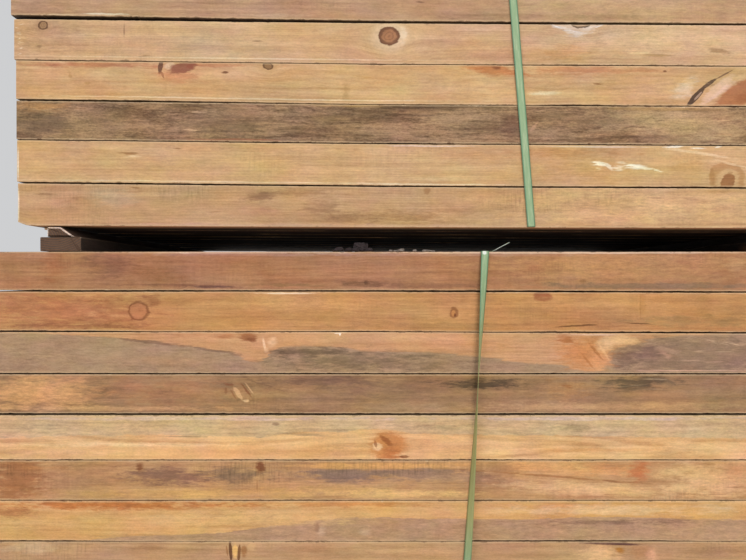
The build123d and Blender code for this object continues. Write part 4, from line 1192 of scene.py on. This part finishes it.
            ("Wavy", 40, 525, 50, 9, 0.35, "D4A468"), ("Torn", 70, 518, 18, 2, 0.4, "BE8A4C", 0.9),
            ("Torn", 500, 524, 40, 4, 0.4, "9C7354"), ("Wavy", 710, 530, 40, 10, 0.4, "B8916C"))},
    "lower_layer_03": {
        "tint": (1.05, 1.05, 1.0),
        "tone": {"light": "C59D77", "dark": "A47C57", "warm": "B28860", "saw": 0.9, "weather": 0.12},
        "marks": (
            ("Crisp", 230.5, 551, 1.8, 11, 0.9, "5E3A22", 0.3, 4),
            ("Crisp", 235, 551, 3.2, 9, 0.85, "DDB072", 0.5),
            ("Crisp", 239, 553, 1.6, 9, 0.85, "6E4628", 0.3, -4),
            ("Crisp", 244, 551, 3.6, 7, 0.7, "8C5C34", 0.6),
            ("Crisp", 227, 551, 1, 6, 0.6, "8C5C34", 0.4, 8),
            ("Crisp", 251, 547, 5, 5, 0.45, "D4AE80", 0.8), ("Wavy", 30, 548, 36, 9, 0.5, "C8AC8C"),
            ("Crisp", 613, 543.8, 34, 1.6, 0.85, "49232D", 0.6, -2),
            ("Wavy", 600, 554, 26, 9, 0.8, "DCB082", 0.8), ("Wavy", 620, 550, 6, 4, 0.85, "A36C2B", 0.8),
            ("Wavy", 641, 553, 14, 10, 0.65, "AC7E58", 0.8), ("Wavy", 652, 556, 7, 9, 0.55, "D6A484", 0.8),
            ("Torn", 330, 550, 60, 5, 0.4, "A47A55"), ("Torn", 700, 552, 50, 6, 0.45, "A07858"),
            ("Torn", 150, 548, 20, 3, 0.4, "8C6848", 0.9), ("Wavy", 420, 552, 60, 8, 0.3, "CCA27C"))}}


# Where a timber's edges are more or less torn than the usual, in metres
USUAL_TEAR = 0.0005
TORN = {"upper_layer_01": 0.0004, "upper_layer_03": 0.0007, "lower_layer_06": 0.0007}

# Past any timber's end, so that the last slice reaches it
WHOLE = 9.0

chance = Random(7)
for label, read in TIMBERS.items():
    pack = label.split("_")[0]
    front_timber = new_bundle()
    saw_timber(front_timber, *layers[label][0], ((SEEN, SEEN_STEP), (WHOLE, HIDDEN_STEP)), chance,
               seam=SEAMS[label], ragged=TORN.get(label, USUAL_TEAR))
    skew_courses(front_timber, pack)
    finish_piece(f"{label}_front", front_timber, [dress_timber(label, **read)], [label])

# The hidden timbers come from the same saw: their tones are mixed, as in the layers that are seen
MIX = ("tan", "tan", "tan", "golden", "golden", "straw", "straw", "orange", "red", "grey")
LEAST_GAP, WIDEST_GAP = 0.5, 3.4
GAP_PLACES = range(0, 4001, 800)

gaps = Random(11)
for pack in ("upper", "lower"):
    for first in range(1, len(LOWER_HEIGHTS) + 1, 2):
        rest = new_bundle()
        names = [f"{pack}_layer_{level:02d}" for level in (first, first + 1)]
        for label in names:
            for corners in layers[label][1 if label in TIMBERS else 0:]:
                seam = None
                if corners in (layers[label][0], layers[label][-1]):
                    # The outermost timbers show the gaps between the courses
                    seam = [(along, gaps.uniform(LEAST_GAP, WIDEST_GAP)) for along in GAP_PLACES]
                saw_timber(rest, *corners, ((WHOLE, HIDDEN_STEP * 2),), chance,
                           TONE_NAMES.index(chance.choice(MIX)), seam)
        skew_courses(rest, pack)
        finish_piece(f"{pack}_courses_{first:02d}", rest, generic_pine, names)


# Straps

# Rolled in, in metres from one bump to the next
WAFFLE = 0.002

# Dusty where it stands off the timbers; white where it bends hard over the front arris and along the loose
# end, a painted highlight for the sky reflected there: each place with its radius, in metres, how strongly it
# shows and its colour
STRAP_DUST_AND_GLINTS = (
    ((-0.84, -0.5555, 0.6), 0.3, 0.75, "A29E60"), ((-0.8235, -0.5555, 1.0625), 0.006, 0.95, "E6ECE4"),
    ((-0.778, -0.53, 1.0786), 0.03, 0.75, "E6ECE4"))


def make_strap_material():
    """Green polyester strapping, rolled with a fine waffle: a soft gloss, paler where it is scuffed; painted
    shade darkens its edges and its downward faces, and painted highlights whiten it where it bends hard.
    """
    made, t = new_material("Polyester strap, embossed")
    place = add(t, "Attribute", attribute_name="run").outputs["Vector"]
    # The waffle is drawn as large as it is, and only shows close up
    finely = 2 * pi / WAFFLE
    check_at = add(t, "VectorMath", (place, (finely, finely, 0.0)), operation="MULTIPLY")
    waves = add(t, "VectorMath", (check_at,), operation="SINE")
    parts = add(t, "SeparateXYZ", (waves,))
    waffle = add(t, "Math", (parts.outputs[0], parts.outputs[1]), operation="MULTIPLY")
    scuff = add(t, "Group", (place, (180.0, 14.0, 1.0), 5.0, 0.7), node_tree=clouds)
    pale = add(t, "MapRange", (scuff, 0.45, 0.68, 0.0, 0.6), **SOFT)
    halves = add(t, "SeparateXYZ", (place,))
    away = add(t, "Math", (halves.outputs[0],), operation="ABSOLUTE")
    # Both edges darker: painted shade, standing in for the shadow along the strap's edge
    side = add(t, "MapRange", (away, 0.0055, 0.0085, 0.0, 0.75), **SOFT)
    green = add(t, "MixRGB", (pale, "88A67C", "B2C09C"))
    green = add(t, "MixRGB", (side, green, "4A7C5E"))
    where = add(t, "TexCoord").outputs["Object"]
    for centre, radius, amount, colour in STRAP_DUST_AND_GLINTS:
        apart = add(t, "VectorMath", (where, centre), operation="DISTANCE").outputs["Value"]
        dust_or_glint = add(t, "MapRange", (apart, radius, 0.6 * radius, 0.0, amount))
        green = add(t, "MixRGB", (dust_or_glint, green, colour))
    # Under the packs it is darker: caked dirt, and painted shade on the downward faces
    facing = add(t, "SeparateXYZ", (add(t, "NewGeometry").outputs["True Normal"],))
    caked = add(t, "MapRange", (facing.outputs[2], -0.6, -0.9, 0.0, 0.9))
    green = add(t, "MixRGB", (caked, green, "1A2A20"))
    bump = add(t, "Bump", {"Strength": 0.4, "Distance": 0.0003, "Height": waffle})
    strap_look = add(t, "BsdfPrincipled", {"Base Color": green, "Roughness": 0.38, "Normal": bump})
    add(t, "OutputMaterial", {"Surface": strap_look})
    return made


strap_green = make_strap_material()

# How many lengths the front run, the back run and each quarter bend are drawn in, and how many strips across
FRONT_STEPS = 70
BACK_STEPS = 20
BEND_STEPS = 5
STRIPS = 4

OUT, UP, SIDEWAYS = (0, -1, 0), (0, 0, 1), (1, 0, 0)


def section(x, y, z, run, out, turn=0.0):
    """Where a strap's cross-section lies: which way it runs, which way it faces, and how far it is turned."""
    run, face = Vector(run).normalized(), Vector(out).normalized()
    turned = Matrix((face.cross(run), face, run)).transposed().to_4x4()
    return Matrix.Translation((x, y, z)) @ turned @ Matrix.Rotation(radians(turn), 4, "Z")


def strap_course(foot_x, head_x, base, head, twisted):
    """A strap's way round its pack, in millimetres, from its weld on the head, down the front and back up."""
    flat = STRAP_THICKNESS / 2
    reach = STRAP_REACH + flat
    top, bottom = head + STRAP_GAP + flat, base - STRAP_GAP - flat
    high, low = top - STRAP_BEND, bottom + STRAP_BEND
    weld = -STRAP_REACH + WELD_SETBACK
    half_turn = -180.0 if twisted else 0.0
    stops = []

    def go(x, y, z, run, out, turn=0.0):
        stops.append(section(x * MM, y * MM, z * MM, run, out, turn))

    def corner(x, y, z, start, turn):
        """A quarter bend about a centre."""
        for step in range(BEND_STEPS + 1):
            angle = radians(start - 90 * step / BEND_STEPS)
            out = (0, -cos(angle), sin(angle))
            run = (0, -sin(angle), -cos(angle))
            go(x, y + out[1] * STRAP_BEND, z + out[2] * STRAP_BEND, run, out, turn)

    # Over the weld the strap lies double
    for y, lift in (
            (weld + WELD_LENGTH / 2, STRAP_THICKNESS), (weld - WELD_LENGTH / 2, STRAP_THICKNESS),
            (weld - WELD_LENGTH * 5 / 8, 0.0), ((weld - reach) / 2, 0.0)):
        go(head_x, y, top + lift, OUT, UP)
    corner(head_x, -reach + STRAP_BEND, high, 90, 0.0)
    for step in range(1, FRONT_STEPS):
        share = step / FRONT_STEPS
        turn, stand = 0.0, 0.0
        if twisted:
            turn = 180 * min(1.0, share / TWIST_SHARE) ** TWIST_PACE
            edge_on, face_on = abs(sin(radians(turn))), abs(cos(radians(turn)))
            stand = (STRAP_WIDTH * edge_on + STRAP_THICKNESS * face_on) / 2 - flat
        go(head_x + (foot_x - head_x) * share, -reach - stand, high + (low - high) * share,
           (foot_x - head_x, 0, bottom - top), OUT, -turn)
    corner(foot_x, -reach + STRAP_BEND, low, 0, half_turn)
    corner(foot_x, reach - STRAP_BEND, low, -90, half_turn)
    for step in range(1, BACK_STEPS):
        share = step / BACK_STEPS
        go(foot_x + (head_x - foot_x) * share, reach, low + (high - low) * share,
           (head_x - foot_x, 0, top - bottom), (0, 1, 0), half_turn)
    corner(head_x, reach - STRAP_BEND, high, -180, half_turn)
    for y in (0, weld - WELD_LENGTH / 2):
        go(head_x, y, top, OUT, UP, half_turn)
    return stops


def draw_strip(into, stops):
    """A flat strap through the given sections, each point knowing how far across and along it is."""
    run = into.verts.layers.float_vector.get("run") or into.verts.layers.float_vector.new("run")
    spread = [STRAP_WIDTH * MM * (n / STRIPS - 0.5) for n in range(STRIPS + 1)]
    verts = [into.verts.new(stops[0] @ Vector((a, 0, 0))) for a in spread]
    for vert, a in zip(verts, spread):
        vert[run] = (a, 0.0, 0.0)
    edges = [into.edges.new(pair) for pair in zip(verts, verts[1:])]
    far = 0.0
    for before, after in zip(stops, stops[1:]):
        step = bmesh.ops.extrude_edge_only(into, edges=edges)["geom"]
        verts = [item for item in step if isinstance(item, bmesh.types.BMVert)]
        edges = [item for item in step if isinstance(item, bmesh.types.BMEdge)
                 and item.verts[0] in verts and item.verts[1] in verts]
        far += (after.translation - before.translation).length
        bmesh.ops.transform(into, matrix=after @ before.inverted(), verts=verts)
        for vert in verts:
            vert[run] = ((after.inverted() @ vert.co).x, far, 0.0)


def draw_loose_end(into, head_x, head):
    """The strap's loose end, lying flat from under the strap, then bent up."""
    edge = head_x + STRAP_WIDTH / 2 - 2 * STRAP_THICKNESS
    root = Vector((edge, -STRAP_REACH + TAIL_SETBACK, head + STRAP_GAP + STRAP_THICKNESS / 2)) * MM
    stops = [section(*(root + Vector((away * MM, 0, 0))), SIDEWAYS, UP) for away in (-12, 0, 8, TAIL_FLAT)]
    bend = root + Vector((TAIL_FLAT * MM, 0, 0))
    rise = radians(TAIL_RISE)
    for share in (0.25, 0.5, 0.75, 1.0):
        bent = rise * min(1.0, share * 1.6)
        tip = bend + Vector((cos(rise), 0, sin(rise))) * TAIL_LENGTH * MM * share
        stops.append(section(*tip, (cos(bent), 0, sin(bent)), (-sin(bent), 0, cos(bent))))
    draw_strip(into, stops)


def wrap_strap(label, foot_x, head_x, base, head, twisted=False):
    strip = bmesh.new()
    draw_strip(strip, strap_course(foot_x, head_x, base, head, twisted))
    if twisted:
        draw_loose_end(strip, head_x, head)
    piece = finish_piece(label + "_strip", strip, [strap_green], [label], shade=50.0)
    wall = piece.modifiers.new("Thickness", "SOLIDIFY")
    wall.thickness = STRAP_THICKNESS * MM
    wall.offset = 0.0


for side, end, inward in (("1", LOWER_LEFT, 1), ("2", LOWER_RIGHT, -1)):
    foot_x, head_x = end + inward * LOWER_STRAP_FOOT, end + inward * LOWER_STRAP_HEAD
    wrap_strap("lower_strap_" + side, foot_x, head_x, LOWER_BASE, LOWER_HEAD, twisted=inward == 1)
for side, end, inward in (("1", UPPER_LEFT, 1), ("2", UPPER_RIGHT, -1)):
    foot_x, head_x = end + inward * UPPER_STRAP_FOOT, end + inward * UPPER_STRAP_HEAD
    wrap_strap("upper_strap_" + side, foot_x, head_x, UPPER_BASE, UPPER_HEAD)


# Bearers

# Turns a batten that was sawn along X so that it lies across the pack
TURN = Matrix(((0, 1, 0, 0), (-1, 0, 0, 0), (0, 0, 1, 0), (0, 0, 0, 1)))

# Three in a row, spread over the length that both packs share
BEARER_SPREAD = (LENGTH - STAGGER) / 2 - BEARER_INSET
BEARERS = (-BEARER_SPREAD, -BATTEN_WIDTH / 2, BEARER_SPREAD - BATTEN_WIDTH)

# Bearers are older, dirtier wood than the timbers; a clean split shows pale at the rim of the sloped ones,
# with a painted highlight on the rim's upward and side faces
ACROSS_PACK = (0.0, 1.0, 0.0)
bearer_look = pine_material("Rough-sawn pine bearer, weathered", {
    **TAN, "light": "584438", "dark": "34261E", "warm": "443228", "weather": 0.5, "grey": "5A4A3E",
    "mould": "2C221C", "saw": 0.8, "arris": 0.9, "thread": "B8A490", "end": "5A463A"}, axis=ACROSS_PACK)
# A darker copy of the bearer's pine, for the sides of the middle bearers: painted shade
bearer_side_shade = pine_material("Rough-sawn pine bearer, sides in painted shade", {
    **TAN, "light": "3E3129", "dark": "231A15", "warm": "32261E", "weather": 0.5, "grey": "3A3029",
    "mould": "1C1613", "saw": 0.6, "arris": 0.4, "thread": "6A5A4C"}, axis=ACROSS_PACK)
bearer_rim_lit = pine_material("Rough-sawn pine bearer, split clean and lit at the rim", {
    **TAN, "light": "F2DED0", "dark": "D8BAA8", "warm": "E4C8B6", "weather": 0.0, "end": "E8D4C6"},
    axis=ACROSS_PACK)
LOOK, RIM, SHADED_SIDES = range(3)

BEARER_STEP = 0.02
BEARER_TEAR = 0.0008
BATTEN_RIM = 0.002
WEDGE_RIM = 0.0032


def lay_bearer(label, left, base, sloped):
    """A batten across the pack, flat or with one sloped side, sawn lengthwise and turned to lie across."""
    bearer = new_bundle()
    width, height = (WEDGE_FOOT, WEDGE_THICKNESS) if sloped else (BATTEN_WIDTH, BATTEN_THICKNESS)
    low = Vector((-HALF_DEPTH, left, base)) * MM
    high = Vector((HALF_DEPTH, left + width, base + height)) * MM
    saw_timber(bearer, low, high, ((WHOLE, BEARER_STEP),), chance, ragged=BEARER_TEAR)
    if sloped:
        slope = (0, WEDGE_THICKNESS, WEDGE_FOOT - WEDGE_TOP)
        corner = Vector((0, left + WEDGE_TOP, base + WEDGE_THICKNESS)) * MM
        cut = bmesh.ops.bisect_plane(
            bearer, geom=bearer.verts[:] + bearer.edges[:] + bearer.faces[:], plane_co=corner,
            plane_no=slope, clear_outer=True)["geom_cut"]
        opened = [item for item in cut if isinstance(item, bmesh.types.BMEdge)]
        bmesh.ops.contextual_create(bearer, geom=opened)
    rim = [edge for edge in bearer.edges if min(vert.co.x for vert in edge.verts) > high.x - 0.5 * MM
           and len({face.normal.x > 0.9 for face in edge.link_faces}) == 2]
    broken = bmesh.ops.bevel(
        bearer, geom=rim, offset=WEDGE_RIM if sloped else BATTEN_RIM, segments=2, profile=0.5,
        affect="EDGES", material=-1)["faces"]
    for face in broken:
        # Pale rim on the upward and side faces only: clean split wood and painted highlight
        face.material_index = RIM if sloped and face.normal.z > -0.3 else LOOK
    for face in bearer.faces:
        # Between the packs the sides take a darker copy of the pine: painted shade
        if label.startswith("middle") and abs(face.normal.y) > 0.9:
            face.material_index = SHADED_SIDES
    bmesh.ops.transform(bearer, matrix=TURN, verts=bearer.verts)
    bmesh.ops.recalc_face_normals(bearer, faces=bearer.faces)
    finish_piece(label + "_sawn", bearer, [bearer_look, bearer_rim_lit, bearer_side_shade], [label])


for row, row_base in (("ground", 0.0), ("middle", LOWER_HEAD)):
    for place_in_row, left in enumerate(BEARERS):
        lay_bearer(f"{row}_batten_{place_in_row + 1}", left, row_base, False)
        lay_bearer(f"{row}_wedge_{place_in_row + 1}", left + WEDGE_INSET,
                   row_base + BATTEN_THICKNESS + ROUGH_GAP, True)


def make_bark_material(name, shadow, face):
    """Pine bark and damp sawdust in lumps: two shades, broken up in plates a few millimetres wide, matt."""
    made, t = new_material(name)
    where = add(t, "TexCoord").outputs["Object"]
    plates = add(t, "TexVoronoi", {"Vector": where, "Scale": 260.0}, feature="F1")
    cloud = add(t, "TexNoise", {"Vector": where, "Scale": 150.0, "Detail": 4.0})
    shade = add(t, "MixRGB", (cloud, shadow, face))
    height = add(t, "Math", (plates.outputs["Distance"], cloud), operation="ADD")
    bump = add(t, "Bump", {"Strength": 0.8, "Distance": 0.002, "Height": height})
    bark = add(t, "BsdfPrincipled", {"Base Color": shade, "Roughness": 0.9, "Normal": bump})
    add(t, "OutputMaterial", {"Surface": bark})
    return made


def break_lump(into, at, size, detail=3):
    """A broken lump: a ball pulled out of round by noise, flat side down."""
    lump = bmesh.ops.create_icosphere(into, subdivisions=detail, radius=0.5)["verts"]
    seed = Vector([chance.uniform(-50, 50) for _ in range(3)])
    for vert in lump:
        pull = 1.0 + 0.5 * noise.noise(vert.co * 3.5 + seed) + 0.25 * noise.noise(vert.co * 9.0 + seed)
        co = vert.co * pull
        co = Vector([max(-0.5, min(0.5, c)) for c in co])
        vert.co = Vector(at) + Vector([c * side for c, side in zip(co, size)]) + Vector((0, 0, size[2] / 2))


bark_look = make_bark_material("Pine bark, broken", "140F10", "3E3132")
sawdust_look = make_bark_material("Sawdust, damp and caked", "4E4640", "A89E94")

# On the head of the lower pack, near its front: one lump and two scatters of crumbs, in metres
CHIP_PLACE = (-1.124, -0.5322, 1.0655)
CHIP_SIZE = (0.036, 0.024, 0.023)
CRUMBS_ON = 1.0652
CRUMBS_ACROSS = (-0.545, -0.51)
CRUMB_LEAST = 0.004

chip = bmesh.new()
break_lump(chip, CHIP_PLACE, CHIP_SIZE, 4)
finish_piece("bark_lump", chip, [bark_look], ["bark_chip"], shade=40.0)
for name, look, count, start, stop, largest in (
        ("bark_crumbs", bark_look, 14, -1.19, -1.09, 0.016),
        ("sawdust_crumbs", sawdust_look, 16, -1.06, -0.93, 0.011)):
    crumbs = bmesh.new()
    for _ in range(count):
        across, size = chance.uniform(*CRUMBS_ACROSS), chance.uniform(CRUMB_LEAST, largest)
        break_lump(crumbs, (chance.uniform(start, stop), across, CRUMBS_ON), (1.5 * size, size, 0.8 * size),
                   2)
    finish_piece(name, crumbs, [look], (), shade=40.0)


# Floor, light, camera

def make_floor_material():
    """Smooth pale concrete, floated: matt, with faint clouds."""
    made, t = new_material("Concrete floor, floated")
    where = add(t, "TexCoord").outputs["Object"]
    cloud = add(t, "TexNoise", {"Vector": where, "Scale": 0.9, "Detail": 5.0})
    shade = add(t, "MixRGB", (cloud, "D8D6D2", "E4E2DE"))
    floor_look = add(t, "BsdfPrincipled", {"Base Color": shade, "Roughness": 0.85})
    add(t, "OutputMaterial", {"Surface": floor_look})
    return made


ground = bmesh.new()
bmesh.ops.create_grid(ground, x_segments=2, y_segments=2, size=30.0)
mesh = bpy.data.meshes.new("floor")
ground.to_mesh(mesh)
ground.free()
mesh.materials.append(make_floor_material())
floor = bpy.data.objects.new("floor", mesh)
bpy.context.scene.collection.objects.link(floor)

sky = bpy.data.worlds.new("Pale sky")
sky.use_nodes = True
sky.node_tree.nodes["Background"].inputs["Color"].default_value = linear("F1F2F4")
sky.node_tree.nodes["Background"].inputs["Strength"].default_value = 0.7
bpy.context.scene.world = sky


def soft_light(name, at, target, size, watts, tint):
    lamp = bpy.data.lights.new(name, "AREA")
    lamp.shape, lamp.size, lamp.energy, lamp.color = "SQUARE", size, watts, linear(tint)[:3]
    placed = bpy.data.objects.new(name, lamp)
    placed.location = at
    placed.rotation_euler = (Vector(target) - Vector(at)).to_track_quat("-Z", "Y").to_euler()
    bpy.context.scene.collection.objects.link(placed)


soft_light("Front right", (2.2, -9.0, 4.4), (-0.6, -0.5, 1.0), 5.0, 418, "FFF8F0")
soft_light("Front left", (-7.5, -6.0, 3.4), (-1.0, -0.5, 1.0), 4.0, 146, "F6F8FF")
soft_light("Above and behind", (1.0, 7.0, 6.5), (0.0, 0.6, 1.2), 5.0, 380, "FFFFFF")

bpy.context.scene.view_settings.view_transform = "Standard"

# The photograph was taken close to the stack, below the gap between the packs, square to its long side
EYE = (-1.0934, -1.7522, 0.9961)
FOCAL_LENGTH = 23.86
SENSOR = 36.0

lens = bpy.data.cameras.new("Camera")
lens.lens = FOCAL_LENGTH
lens.sensor_width = SENSOR
camera = bpy.data.objects.new("Camera", lens)
camera.location = EYE
camera.rotation_euler = (radians(90), 0, 0)
bpy.context.scene.collection.objects.link(camera)
bpy.context.scene.camera = camera
